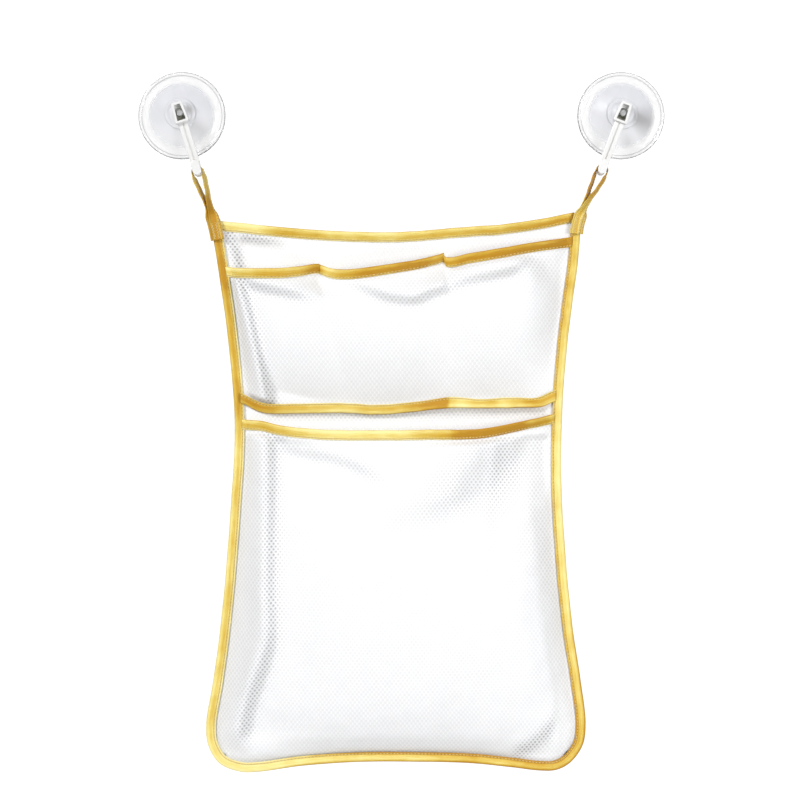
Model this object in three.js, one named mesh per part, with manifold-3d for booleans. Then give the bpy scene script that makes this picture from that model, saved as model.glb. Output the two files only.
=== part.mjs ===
// Bath toy organizer: a net bag with a row of three small pockets over one large pocket. Folded tape
// binds its edges and the pocket mouths. Two tape loops hang it on hooks that swivel on the stems of
// two suction cups. Millimetres, +Z up, front towards -Y. The wall is the plane y = 0, and the origin
// lies on it midway between the cups.
import * as THREE from "three";
import { mergeVertices } from "three/addons/utils/BufferGeometryUtils.js";
import Module from "manifold-3d";

const wasm = await Module();
wasm.setup();

// Sewn and running clearances
const gap = 0.3; // between neighbours that touch on the real thing
const overrun = 1; // how far a cutting solid runs past what it cuts
const weld = 0.001; // points nearer than this are one corner

// Suction cups
const cupRadius = 38.3;
const sealWidth = 5.2; // flat ring that lies on the wall
const rimHeight = 1.9; // thick bead round the edge
const rimWidth = 3.1;
const skirtThickness = 1.5;
const cupHollow = 3; // depth of the suction space
const domeHeight = 12.4;
const bossRadius = 13.5;
const bossHeight = 3.8;
const bossRound = 0.8;
const neckRadius = 2.4;
const knobRadius = 3.9;
const knobThickness = 2.9;
const knobRound = 0.7;

// Hooks
const leftLean = THREE.MathUtils.degToRad(17.5); // how far the loaded arm leans inwards
const rightLean = THREE.MathUtils.degToRad(21);
const hookReach = 54.4; // from the stem's axis to the axis of the bar
const headHeight = 18.2;
const headTopWidth = 9.6;
const headBottomWidth = 12.4;
const headWall = 1.2;
const headCorner = 1.5;
const headBack = 2.1; // plate that the stem passes through
const headFront = 1.6; // plate with the window
const headPlay = 0.4; // between the knob and the plates
const windowHeight = 14.1;
const windowTopWidth = 5.3;
const windowBottomWidth = 7.8;
const armTopWidth = 8.6;
const armBottomWidth = 7.6;
const armThickness = 4.4;
const armEdge = 0.6; // rounding of the arm's edges
const grooveWidth = 1.3;
const grooveDepth = 0.9;
const barRadius = 3.5;
const lipThickness = 3.2;
const lipHeight = 9.5; // above the axis of the bar

// Tape and net
const tapeWidth = 8.6; // folded binding, from its fold to its two free edges
const tapeThickness = 0.6; // one ply of the binding
const foldRound = 0.7;
const netThickness = 0.5;
const netInset = 1.5; // from the fold of a binding to the edge of the net in it
const flatMargin = 1; // the net stays flat this far past the binding

// Hanging loops
const loopTapeWidth = 9.2;
const loopThickness = 1;
const loopRadius = 4.3; // inside of the crest
const loopPlay = 0.4; // on each side of the tape, between arm and lip
const loopEye = 26; // from the bar down to where the strands meet
const loopStraight = 5; // below the bar before the strands start to twist
const loopSewn = 17.2; // overlap on the corner of the bag
const loopOutset = 0.8; // past the middle of the side binding
const leftDrop = 42; // from the bar to the top corner of the bag
const rightDrop = 37.8;
const rightSlack = 0.45; // the right loop sits this far outwards on its bar, for the sway

// Bag
const cupOutset = 28; // the stems sit this much wider than the bag on each side
const bagHalfWidth = 165;
const bagHeight = 479;
const bagShift = -3.5; // the bag hangs a little to the left of the middle
const upperBelly = 20; // how far the small pockets stand out
const lowerBelly = 42;
const seamLift = 1.2; // the mouth tape keeps the net off the back at the seams

// How full the pockets are: shares of the belly, and powers that shape it down and across
const upperMouthShare = 0.75;
const lowerMouthShare = 0.5;
const mouthTakeShare = 0.4; // a fuller mouth leaves this much less to the belly
const upperSagPower = 0.9;
const lowerSagPower = 1.4;
const upperArchPower = 0.8;
const lowerArchPower = 2.6;
const liftFadeShare = 0.12; // of the width, next to each side
const foldWidthShare = 0.02; // the fold that runs down the left of the nets
const foldCutShare = 0.3; // how much flatter the net lies outside the fold

// Counts
const cupSides = 32;
const roundSides = 24;
const cornerSteps = 5;
const crestSteps = 12;
const strandSteps = 12;
const baseSteps = 4;
const edgeStepsPerPoint = 3;
const upperRows = 8;
const upperColumnCounts = [2, 1, 6, 10, 10];
const lowerRows = 16;
const lowerColumnCounts = [2, 1, 17];
const backRows = 18;
const backColumnCounts = [14];
const crowding = 0.6; // 1 crowds rows and columns fully towards their ends, 0 spaces them evenly

// Outline of the bound edge: shares of the half width, and of the height down from the left corner.
const edgeShares = [
  [-0.985, 0], [-0.943, 0.09], [-0.886, 0.235], [-0.857, 0.37], [-0.875, 0.507], [-0.928, 0.725],
  [-0.97, 0.834], [-1.008, 0.918], [-0.996, 0.953], [-0.936, 0.985], [-0.829, 1], [-0.734, 1],
  [-0.513, 0.99], [-0.25, 0.983], [0.1, 0.982], [0.4, 0.985], [0.6, 0.992], [0.75, 0.998],
  [0.836, 0.997], [0.909, 0.984], [0.976, 0.952], [0.992, 0.915], [0.965, 0.834], [0.918, 0.725],
  [0.867, 0.507], [0.866, 0.37], [0.892, 0.235], [0.924, 0.144], [0.951, 0.075], [0.97, -0.012],
];
// Middle lines of the tapes that cross the bag, in the same shares.
const topTapeShares = [
  [-0.925, 0.01], [-0.72, 0.0175], [-0.513, 0.024], [-0.302, 0.0285], [-0.09, 0.0305],
  [0.12, 0.028], [0.33, 0.0215], [0.54, 0.0165], [0.75, 0.0065], [0.883, -0.0025],
];
const upperMouthShares = [
  [-0.892, 0.0935], [-0.792, 0.097], [-0.618, 0.0975], [-0.513, 0.0935], [-0.425, 0.0873],
  [-0.36, 0.0955], [-0.302, 0.099], [-0.197, 0.0975], [0.014, 0.0864], [0.119, 0.0791],
  [0.235, 0.0691], [0.28, 0.0725], [0.35, 0.0712], [0.541, 0.061], [0.7, 0.0505], [0.9145, 0.0393],
];
const upperBaseShares = [
  [-0.813, 0.324], [-0.713, 0.34], [-0.618, 0.342], [-0.302, 0.3405], [-0.09, 0.3435],
  [0.08, 0.339], [0.256, 0.333], [0.5, 0.333], [0.7515, 0.3305], [0.8145, 0.322],
];
const lowerMouthShares = [
  [-0.803, 0.37], [-0.71, 0.373], [-0.618, 0.38], [-0.513, 0.385], [-0.302, 0.389], [0.2, 0.388],
  [0.435, 0.385], [0.5405, 0.379], [0.646, 0.371], [0.8145, 0.36],
];
// Where the two seams divide the small pockets, as shares of the way across, at mouth and base.
const seamMouthShares = [0, 0.262, 0.63, 1];
const seamBaseShares = [0, 0.33, 0.672, 1];
// Where the fold runs, as shares of the way across: down the small pockets, and down the large one.
const upperFoldShares = [0.04, 0.095];
const lowerFoldShares = [0.07, 0.12];
// Outside of the cup's dome: shares of the way in from the rim to the boss, and of the way up.
const domeShares = [[0.24, 0.1], [0.29, 0.16], [0.52, 0.49], [0.79, 0.8], [0.95, 0.96]];
// Hollow towards the wall: shares of the way out to the seal, and of its depth.
const hollowShares = [[0, 1], [0.36, 0.93], [0.72, 0.53], [1, 0]];
// Rim bead: shares of its width in from the outside, and of its height.
const beadShares = [[0, 0.55], [0.22, 0.95], [0.87, 1]];

const cupSpacing = 2 * (bagHalfWidth + cupOutset); // between the stems of the two cups

// Depths in front of the wall, worked out from the stem forwards
const bossFace = domeHeight + bossHeight;
const armBack = bossFace + headPlay;
const armFront = armBack + armThickness;
const knobBack = armBack + headBack + headPlay;
const knobFront = knobBack + knobThickness;
const headFace = knobFront + headPlay + headFront;
const throat = loopTapeWidth + 2 * loopPlay;
const loopDepth = armFront + throat / 2;
const lipBack = armFront + throat;
const netPitch = netThickness + 2 * gap + tapeThickness; // from the back net to the pocket net
const edgeFront = loopDepth - loopThickness - 1.5 * gap; // face of the side binding
const pocketFace = edgeFront - tapeThickness - gap;
const backFace = pocketFace - netPitch;
const edgeBack = backFace - netThickness - gap - tapeThickness;

// Where the hooks hold the loops
const leftBar = barPlace(-1, leftLean);
const rightBar = barPlace(1, rightLean);
const bagTop = leftBar.y - leftDrop;

function barPlace(side, lean) {
  const x = side * (cupSpacing / 2 - hookReach * Math.sin(lean));
  return new THREE.Vector2(x, -hookReach * Math.cos(lean));
}

// Colours and finishes
const clearPlastic = { color: 0xe8eef0, roughness: 0.12, metalness: 0, transparent: true, opacity: 0.5 };
const whitePlastic = { color: 0xf4f4f1, roughness: 0.35, metalness: 0 };
const goldTape = { color: 0xe2b548, roughness: 0.5, metalness: 0 };
const whiteNet = { color: 0xf1f1ee, roughness: 0.8, metalness: 0 };

function meshOf(name, geometry, finish) {
  const mesh = new THREE.Mesh(geometry, new THREE.MeshStandardMaterial(finish));
  mesh.name = name;
  return mesh;
}

// Solids for joining and cutting
function solidOf(geometry) {
  const bare = geometry.clone();
  bare.deleteAttribute("normal");
  bare.deleteAttribute("uv");
  const merged = mergeVertices(bare, weld);
  const vertProperties = merged.attributes.position.array;
  const triVerts = new Uint32Array(merged.index.array);
  return new wasm.Manifold(new wasm.Mesh({ numProp: 3, vertProperties, triVerts }));
}

function geometryOf(solid) {
  const mesh = solid.getMesh();
  const geometry = new THREE.BufferGeometry();
  geometry.setAttribute("position", new THREE.BufferAttribute(mesh.vertProperties, 3));
  geometry.setIndex(new THREE.BufferAttribute(mesh.triVerts, 1));
  geometry.computeVertexNormals();
  return geometry;
}

// A closed surface, turned so that it faces out.
function closed(points, index) {
  let volume = 0;
  for (let i = 0; i < index.length; i += 3) {
    const [a, b, c] = index.slice(i, i + 3).map((n) => points[n]);
    volume += a.dot(b.clone().cross(c));
  }
  const geometry = new THREE.BufferGeometry().setFromPoints(points);
  geometry.setIndex(volume < 0 ? index.toReversed() : index);
  geometry.computeVertexNormals();
  return geometry;
}

// A closed solid through rings of points, with a flat cap shaped like the section on each end.
// The section runs anticlockwise.
function loft(rings, section) {
  const count = section.length;
  const last = (rings.length - 1) * count;
  const index = [];
  for (let ring = 0; ring < rings.length - 1; ring++) {
    for (let i = 0; i < count; i++) {
      const a = ring * count + i;
      const b = ring * count + ((i + 1) % count);
      index.push(a, b, b + count, a, b + count, a + count);
    }
  }
  for (const [a, b, c] of THREE.ShapeUtils.triangulateShape(section, [])) {
    index.push(a, c, b, last + a, last + b, last + c);
  }
  return closed(rings.flat(), index);
}

// A thin closed sheet. The grid is its front, with rows going down and columns going right.
function sheet(grid) {
  const rows = grid.length;
  const columns = grid[0].length;
  const front = grid.flat();
  const back = front.map((p) => new THREE.Vector3(p.x, p.y + netThickness, p.z));
  const set = front.length;
  const index = [];
  const quad = (a, b, c, d) => index.push(a, b, c, a, c, d);
  for (let r = 0; r < rows - 1; r++) {
    for (let c = 0; c < columns - 1; c++) {
      const a = r * columns + c;
      const below = a + columns;
      quad(a, below, below + 1, a + 1);
      quad(a + set, a + 1 + set, below + 1 + set, below + set);
    }
    const left = r * columns;
    const right = left + columns - 1;
    quad(left, left + set, left + columns + set, left + columns);
    quad(right, right + columns, right + columns + set, right + set);
  }
  for (let c = 0; c < columns - 1; c++) {
    const bottom = (rows - 1) * columns + c;
    quad(c, c + 1, c + 1 + set, c + set);
    quad(bottom, bottom + set, bottom + 1 + set, bottom + 1);
  }
  return closed([...front, ...back], index);
}

// The lines of the bag
function onBag([across, down]) {
  return new THREE.Vector3(bagShift + across * bagHalfWidth, 0, bagTop - down * bagHeight);
}
const edge = new THREE.CatmullRomCurve3(edgeShares.map(onBag), false, "centripetal");
edge.arcLengthDivisions = 800;

// A point of the bound edge, set in from the fold. The share goes from the left top corner down,
// along the bottom and up to the right top corner.
function inset(point, tangent, distance) {
  return new THREE.Vector3(point.x - tangent.z * distance, 0, point.z + tangent.x * distance);
}
const edgeAt = (share, distance) => inset(edge.getPointAt(share), edge.getTangentAt(share), distance);

// The share of the edge that lies furthest out to the lower left, or to the lower right.
function cornerShare(side) {
  const steps = 400;
  let best = 0;
  for (let i = 1; i <= steps; i++) {
    const now = edge.getPointAt(i / steps);
    const kept = edge.getPointAt(best);
    if (side * now.x - now.z > side * kept.x - kept.z) best = i / steps;
  }
  return best;
}
const leftCorner = cornerShare(-1);
const rightCorner = cornerShare(1);

// A smooth line through a table of places, as a height for each x.
function lineThrough(shares) {
  const places = shares.map(onBag);
  const slope = (i) => {
    const before = places[Math.max(i - 1, 0)];
    const after = places[Math.min(i + 1, places.length - 1)];
    return (after.z - before.z) / (after.x - before.x);
  };
  return (x) => {
    let i = 0;
    while (i < places.length - 2 && x > places[i + 1].x) i++;
    const [from, to] = [places[i], places[i + 1]];
    const width = to.x - from.x;
    const t = (x - from.x) / width;
    if (t < 0) return from.z + slope(i) * (x - from.x);
    if (t > 1) return to.z + slope(i + 1) * (x - to.x);
    const [u, v] = [t * t * (3 - 2 * t), t * (1 - t)];
    return from.z * (1 - u) + to.z * u + width * v * (slope(i) * (1 - t) - slope(i + 1) * t);
  };
}
const raised = (line, rise) => (x) => line(x) + rise;
const topFold = raised(lineThrough(topTapeShares), tapeWidth / 2);
const upperMouthFold = raised(lineThrough(upperMouthShares), tapeWidth / 2);
const upperBaseFold = raised(lineThrough(upperBaseShares), -tapeWidth / 2);
const lowerMouthFold = raised(lineThrough(lowerMouthShares), tapeWidth / 2);

// The share of the bound edge where a line across the bag meets it, on the left or the right.
function meets(line, side, distance) {
  let [high, low] = side < 0 ? [0, leftCorner] : [1, rightCorner];
  for (let i = 0; i < 40; i++) {
    const middle = (high + low) / 2;
    const p = edgeAt(middle, distance);
    if (p.z > line(p.x)) high = middle;
    else low = middle;
  }
  return (high + low) / 2;
}

const flatInset = tapeWidth + flatMargin;
const buttInset = tapeWidth + gap; // where a crossing tape meets the side binding
const mix = THREE.MathUtils.lerp;
// Steps that lie closer together towards both ends.
const spread = (i, count) => mix(i / count, (1 - Math.cos((Math.PI * i) / count)) / 2, crowding);

// Suction cup: a soft moulding turned about its stem, hollow towards the wall.
function cupGeometry() {
  const sealInner = cupRadius - sealWidth;
  const rimInner = cupRadius - rimWidth;
  const profile = [
    ...hollowShares.map(([out, deep]) => [out * sealInner, deep * cupHollow]),
    [cupRadius, 0],
    ...beadShares.map(([inwards, up]) => [cupRadius - inwards * rimWidth, up * rimHeight]),
    [rimInner, skirtThickness],
    ...domeShares.map(([inwards, up]) => [
      mix(rimInner, bossRadius, inwards), mix(skirtThickness, domeHeight, up),
    ]),
    [bossRadius, domeHeight],
    [bossRadius, bossFace - bossRound],
    [bossRadius - bossRound, bossFace],
    [neckRadius, bossFace],
    [neckRadius, knobBack],
    [knobRadius - knobRound, knobBack],
    [knobRadius, knobBack + knobRound],
    [knobRadius, knobFront - knobRound],
    [knobRadius - 2 * knobRound, knobFront],
    [0, knobFront],
  ];
  const lathe = new THREE.LatheGeometry(
    profile.map(([radius, depth]) => new THREE.Vector2(radius, depth)),
    cupSides,
  );
  return lathe.rotateX(Math.PI);
}

function trapezoid(topWidth, bottomWidth, height, corner) {
  const shape = new THREE.Shape();
  const corners = [
    [-bottomWidth / 2, -height / 2],
    [bottomWidth / 2, -height / 2],
    [topWidth / 2, height / 2],
    [-topWidth / 2, height / 2],
  ].map(([x, y]) => new THREE.Vector2(x, y));
  corners.forEach((at, i) => {
    const before = corners[(i + 3) % 4].clone().sub(at).setLength(corner).add(at);
    const after = corners[(i + 1) % 4].clone().sub(at).setLength(corner).add(at);
    if (i === 0) shape.moveTo(before.x, before.y);
    else shape.lineTo(before.x, before.y);
    shape.quadraticCurveTo(at.x, at.y, after.x, after.y);
  });
  shape.closePath();
  return shape;
}

// A flat outline, seen from the front, as a solid between two depths.
function plate(shape, back, front, round = 0) {
  const geometry = new THREE.ExtrudeGeometry(shape, {
    depth: front - back - 2 * round,
    curveSegments: cornerSteps,
    bevelEnabled: round > 0,
    bevelThickness: round,
    bevelSize: round,
    bevelOffset: -round,
    bevelSegments: 2,
  });
  return geometry.translate(0, 0, back + round).rotateX(Math.PI / 2);
}

// A bar or bore along the depth.
function rod(radius, back, front, x, z) {
  const cylinder = new THREE.CylinderGeometry(radius, radius, front - back, roundSides);
  return cylinder.translate(x, -(back + front) / 2, z);
}

// The arm hangs under the head, as wide as the bar's end is round.
function armShape(top, bottom, topWidth, bottomWidth, roundTop) {
  const shape = new THREE.Shape();
  const radius = bottomWidth / 2;
  shape.moveTo(-radius, bottom);
  shape.absarc(0, bottom, radius, Math.PI, 2 * Math.PI, false);
  if (roundTop) {
    shape.absarc(0, top, topWidth / 2, 0, Math.PI, false);
  } else {
    shape.lineTo(topWidth / 2, top);
    shape.lineTo(-topWidth / 2, top);
  }
  shape.closePath();
  return shape;
}

// Hook: a hollow head that snaps over the knob, a grooved arm, and a round bar with a lip in front.
// The plates are drawn with their height along Y and stood up by the turn in plate().
function hookGeometry() {
  const headBottom = -headHeight / 2;
  const innerTop = headTopWidth - 2 * headWall;
  const innerBottom = headBottomWidth - 2 * headWall;
  const headShape = trapezoid(headTopWidth, headBottomWidth, headHeight, headCorner);
  const cavityShape = trapezoid(innerTop, innerBottom, headHeight - 2 * headWall, headCorner / 2);
  const windowShape = trapezoid(windowTopWidth, windowBottomWidth, windowHeight, headCorner / 2);
  const grooveTop = headBottom - headWall;
  const grooveShape = armShape(grooveTop, barRadius - hookReach, grooveWidth, grooveWidth, true);
  const lipTop = lipHeight - hookReach - armBottomWidth / 2;
  const lipShape = armShape(lipTop, -hookReach, armBottomWidth, armBottomWidth, true);
  const barRoot = 2 * armEdge; // how far the bar reaches into the arm and the lip

  const head = solidOf(plate(headShape, armBack, headFace, armEdge));
  const cavity = solidOf(plate(cavityShape, armBack + headBack, headFace - headFront));
  const frontWindow = solidOf(plate(windowShape, knobFront, headFace + overrun));
  const stemHole = solidOf(rod(neckRadius + gap, armBack - overrun, armBack + headBack + overrun, 0, 0));
  const armOutline = armShape(headBottom + headWall / 2, -hookReach, armTopWidth, armBottomWidth, false);
  const arm = solidOf(plate(armOutline, armBack, armFront, armEdge));
  const groove = solidOf(plate(grooveShape, armFront - grooveDepth, armFront + overrun));
  const bar = solidOf(rod(barRadius, armFront - barRoot, lipBack + barRoot, 0, -hookReach));
  const lip = solidOf(plate(lipShape, lipBack, lipBack + lipThickness, armEdge));
  const hollowHead = head.subtract(cavity).subtract(frontWindow).subtract(stemHole);
  return geometryOf(hollowHead.add(arm).subtract(groove).add(bar).add(lip));
}

// A hanging loop: one tape over the bar, both ends sewn flat on the corner. Below the bar the whole
// loop turns a quarter about its middle line, so that its right strand comes to the front.
function loopGeometry(side, bar, lean, drop) {
  const slack = side > 0 ? rightSlack : 0;
  const fall = Math.sqrt((loopRadius - barRadius - gap) ** 2 - slack ** 2);
  const start = new THREE.Vector3(bar.x + slack, 0, bar.y - fall);
  const end = edgeAt(meets(() => bar.y - drop - loopSewn, side, tapeWidth / 2), tapeWidth / 2 - loopOutset);
  const above = edgeAt(meets(() => bar.y - drop, side, tapeWidth / 2), tapeWidth / 2 - loopOutset);
  const way = new THREE.Vector3(-side * Math.sin(lean), 0, -Math.cos(lean));
  const reach = start.distanceTo(end) / 3;
  const leaving = start.clone().addScaledVector(way, reach);
  const arriving = above.sub(end).setLength(reach).add(end);
  const middle = new THREE.CubicBezierCurve3(start, leaving, arriving, end);
  const length = middle.getLength();
  const half = (loopThickness + gap) / 2;
  const crest = loopRadius + loopThickness / 2;

  // Places along the tape: u across the eye, s down from the bar.
  const base = Array.from({ length: baseSteps }, (_, i) => [half, mix(length, loopEye, i / baseSteps)]);
  const strand = Array.from({ length: strandSteps }, (_, i) => {
    const share = 1 - i / strandSteps;
    return [mix(half, crest, (1 + Math.cos(Math.PI * share)) / 2), loopEye * share];
  });
  const rightSide = [...base, ...strand];
  const top = Array.from({ length: crestSteps + 1 }, (_, i) => {
    const turn = (Math.PI * i) / crestSteps;
    return [crest * Math.cos(turn), -crest * Math.sin(turn)];
  });
  const leftSide = rightSide.map(([u, s]) => [-u, s]).reverse();
  const places = [...rightSide, ...top, ...leftSide];

  const put = (u, v, s) => {
    const share = THREE.MathUtils.clamp(s / length, 0, 1);
    const centre = s < 0 ? start.clone().addScaledVector(way, s) : middle.getPointAt(share);
    const down = s < 0 ? way : middle.getTangentAt(share);
    const turn = (Math.PI / 2) * THREE.MathUtils.smoothstep(s, loopStraight, loopEye);
    const across = u * Math.cos(turn) + v * Math.sin(turn);
    const back = v * Math.cos(turn) - u * Math.sin(turn);
    return new THREE.Vector3(centre.x - down.z * across, back - loopDepth, centre.z + down.x * across);
  };
  const section = [[1, -1], [1, 1], [-1, 1], [-1, -1]].map(
    ([across, deep]) => new THREE.Vector2((across * loopThickness) / 2, (deep * loopTapeWidth) / 2),
  );
  const rings = places.map(([u, s], i) => {
    const before = places[Math.max(i - 1, 0)];
    const after = places[Math.min(i + 1, places.length - 1)];
    const along = new THREE.Vector2(after[0] - before[0], after[1] - before[1]).normalize();
    return section.map(({ x, y }) => put(u + along.y * x, y, s - along.x * x));
  });
  return loft(rings, section);
}

// The folded tape in section: x from the fold to the free edges, y through its thickness.
function tapeSection(inside) {
  const half = inside / 2 + tapeThickness;
  const ease = foldRound * 0.3;
  return [
    [tapeWidth, half], [foldRound, half], [ease, half - ease], [0, half - foldRound],
    [0, foldRound - half], [ease, ease - half], [foldRound, -half], [tapeWidth, -half],
    [tapeWidth, -inside / 2], [tapeThickness, -inside / 2], [tapeThickness, inside / 2],
    [tapeWidth, inside / 2],
  ].map(([x, y]) => new THREE.Vector2(x, y));
}

// The binding round the sides and the bottom takes in both nets.
function edgeBindingGeometry() {
  const section = tapeSection(edgeFront - edgeBack - 2 * tapeThickness);
  const steps = (edgeShares.length - 1) * edgeStepsPerPoint;
  const rings = [];
  for (let i = 0; i <= steps; i++) {
    const point = edge.getPoint(i / steps);
    const tangent = edge.getTangent(i / steps);
    rings.push(section.map(({ x, y }) => {
      const at = inset(point, tangent, x);
      return new THREE.Vector3(at.x, y - (edgeFront + edgeBack) / 2, at.z);
    }));
  }
  return loft(rings, section);
}

// A tape across the bag. The places give the front of the net in it; down is -1 where the tape is
// folded over a top edge, and +1 where it is folded up over a bottom edge.
function crossTapeGeometry(places, fold, down) {
  const section = tapeSection(netThickness + 2 * gap);
  const normal = (a, b) => new THREE.Vector2(b.y - a.y, a.x - b.x).normalize();
  const flat = places.map(({ x, depth }) => new THREE.Vector2(x, depth - netThickness / 2));
  const rings = flat.map((at, i) => {
    const before = normal(flat[Math.max(i - 1, 0)], flat[Math.max(i, 1)]);
    const after = normal(flat[Math.min(i, flat.length - 2)], flat[Math.min(i + 1, flat.length - 1)]);
    const mitre = before.clone().add(after).divideScalar(1 + before.dot(after));
    return section.map(({ x, y }) => new THREE.Vector3(
      at.x + mitre.x * y, -(at.y + mitre.y * y), fold(at.x) + down * x,
    ));
  });
  // Both ends butt against the slanting side binding.
  const butt = (side, depth) => section.map(({ x, y }) => {
    const at = edgeAt(meets(raised(fold, down * x), side, buttInset), buttInset);
    return at.setY(y - depth);
  });
  return loft([butt(-1, flat[0].y), ...rings, butt(1, flat.at(-1).y)], section);
}

// Places across a net: shares of the way, crowded towards the ends of each stretch between stops.
function columnsBetween(stops, counts) {
  const shares = counts.flatMap((count, n) =>
    Array.from({ length: count }, (_, i) => mix(stops[n], stops[n + 1], spread(i, count))));
  return [...shares, 1];
}

// Outside the fold on the left the net lies flatter.
const foldSides = (fold) => [fold - foldWidthShare / 2, fold + foldWidthShare / 2];
function foldCut(across, fold) {
  return 1 - foldCutShare * (1 - THREE.MathUtils.smoothstep(across, ...foldSides(fold)));
}

// The net of the three small pockets: it stands out between its seams and its two sides.
const upperFold = (down) => mix(...upperFoldShares, down);
const seamsAt = (down) => seamMouthShares.map((mouth, i) => mix(mouth, seamBaseShares[i], down));
function upperDepth(across, down) {
  const seams = seamsAt(down);
  const pocket = Math.min(seams.findLastIndex((seam) => seam <= across), seams.length - 2);
  const within = (across - seams[pocket]) / (seams[pocket + 1] - seams[pocket]);
  const sag = Math.sin(Math.PI * down ** upperSagPower);
  const fullness = upperMouthShare * (1 - down) + (1 - mouthTakeShare * upperMouthShare) * sag;
  const arch = Math.sin(Math.PI * THREE.MathUtils.clamp(within, 0, 1)) ** upperArchPower;
  const lift = seamLift * (1 - down) * Math.min(1, across / liftFadeShare, (1 - across) / liftFadeShare);
  return pocketFace + upperBelly * fullness * arch * foldCut(across, upperFold(down)) + lift;
}
const upperTop = raised(upperMouthFold, -flatInset);
const upperBottom = raised(upperBaseFold, flatInset);
const upperMouthEdge = raised(upperMouthFold, -netInset);
const rimPoint = (share, depth) => edgeAt(share, netInset).setY(-depth);
function upperRow(line, down) {
  const [from, to] = [-1, 1].map((side) => meets(line, side, flatInset));
  const [left, right] = [edgeAt(from, flatInset), edgeAt(to, flatInset)];
  const [, firstSeam, secondSeam] = seamsAt(down);
  const stops = [0, ...foldSides(upperFold(down)), firstSeam, secondSeam, 1];
  const inner = columnsBetween(stops, upperColumnCounts).map((across) => {
    const x = mix(left.x, right.x, across);
    return new THREE.Vector3(x, -upperDepth(across, down), line(x));
  });
  return [rimPoint(from, pocketFace), ...inner, rimPoint(to, pocketFace)];
}
function upperNetGeometry() {
  const first = upperRow(upperTop, 0).map((p) => new THREE.Vector3(p.x, p.y, upperMouthEdge(p.x)));
  first[0] = rimPoint(meets(upperMouthEdge, -1, netInset), pocketFace);
  first[first.length - 1] = rimPoint(meets(upperMouthEdge, 1, netInset), pocketFace);
  const rows = Array.from({ length: upperRows + 1 }, (_, j) => {
    const down = spread(j, upperRows);
    return upperRow((x) => mix(upperTop(x), upperBottom(x), down), down);
  });
  return sheet([first, ...rows, upperRow(raised(upperBaseFold, netInset), 1)]);
}

// A net that fills the bag from a line across it down to the bottom binding.
const cornerNipShare = 0.004; // of the bound edge, so that the corner cells stay open
function fullNet(fold, columnsAt, rowCount, depthAt) {
  const top = raised(fold, -flatInset);
  const from = meets(top, -1, flatInset);
  const to = meets(top, 1, flatInset);
  const left = (down) => mix(from, leftCorner, down);
  const right = (down) => mix(to, rightCorner, down);
  const low = (across) => mix(leftCorner, rightCorner, across);
  const [topLeft, topRight] = [edgeAt(from, flatInset), edgeAt(to, flatInset)];
  const [lowLeft, lowRight] = [edgeAt(leftCorner, flatInset), edgeAt(rightCorner, flatInset)];
  const patch = (across, down) => {
    const x = mix(topLeft.x, topRight.x, across);
    const upper = new THREE.Vector3(x, 0, top(x)).multiplyScalar(1 - down);
    const lower = edgeAt(low(across), flatInset).multiplyScalar(down);
    const sides = edgeAt(left(down), flatInset).lerp(edgeAt(right(down), flatInset), across);
    const ends = topLeft.clone().lerp(topRight, across).lerp(lowLeft.clone().lerp(lowRight, across), down);
    return upper.add(lower).add(sides).sub(ends).setY(-depthAt(across, down));
  };
  const flat = depthAt(0, 1);
  const row = (down) => {
    const nip = down === 1 ? cornerNipShare : 0;
    const inner = columnsAt(down).map((across) => patch(across, down));
    return [rimPoint(left(down) - nip, flat), ...inner, rimPoint(right(down) + nip, flat)];
  };
  const grid = Array.from({ length: rowCount + 1 }, (_, j) => row(spread(j, rowCount)));
  const mouthEdge = raised(fold, -netInset);
  const first = grid[0].map((p) => new THREE.Vector3(p.x, p.y, mouthEdge(p.x)));
  first[0] = rimPoint(meets(mouthEdge, -1, netInset), flat);
  first[first.length - 1] = rimPoint(meets(mouthEdge, 1, netInset), flat);
  const shares = columnsAt(1).map(low);
  shares[0] += cornerNipShare;
  shares[shares.length - 1] -= cornerNipShare;
  const last = [leftCorner, ...shares, rightCorner].map((share) => rimPoint(share, flat));
  return [first, ...grid, last];
}
const lowerFold = (down) => mix(...lowerFoldShares, Math.sin(Math.PI * down));
const lowerColumns = (down) => columnsBetween([0, ...foldSides(lowerFold(down)), 1], lowerColumnCounts);
function lowerDepth(across, down) {
  const sag = Math.sin(Math.PI * down ** lowerSagPower);
  const fullness = lowerMouthShare * (1 - down) + (1 - mouthTakeShare * lowerMouthShare) * sag;
  const arch = 1 - Math.abs(2 * across - 1) ** lowerArchPower;
  return pocketFace + lowerBelly * fullness * arch * foldCut(across, lowerFold(down));
}
const lowerNet = fullNet(lowerMouthFold, lowerColumns, lowerRows, lowerDepth);
const backNet = fullNet(topFold, () => columnsBetween([0, 1], backColumnCounts), backRows, () => backFace);

// The front of a net along one of its rows, for the tape that is folded over it.
const alongRow = (row) => row.slice(1, -1).map((p) => ({ x: p.x, depth: -p.y }));
const upperMouth = alongRow(upperRow(upperTop, 0));
const upperBase = alongRow(upperRow(raised(upperBaseFold, netInset), 1));

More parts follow.
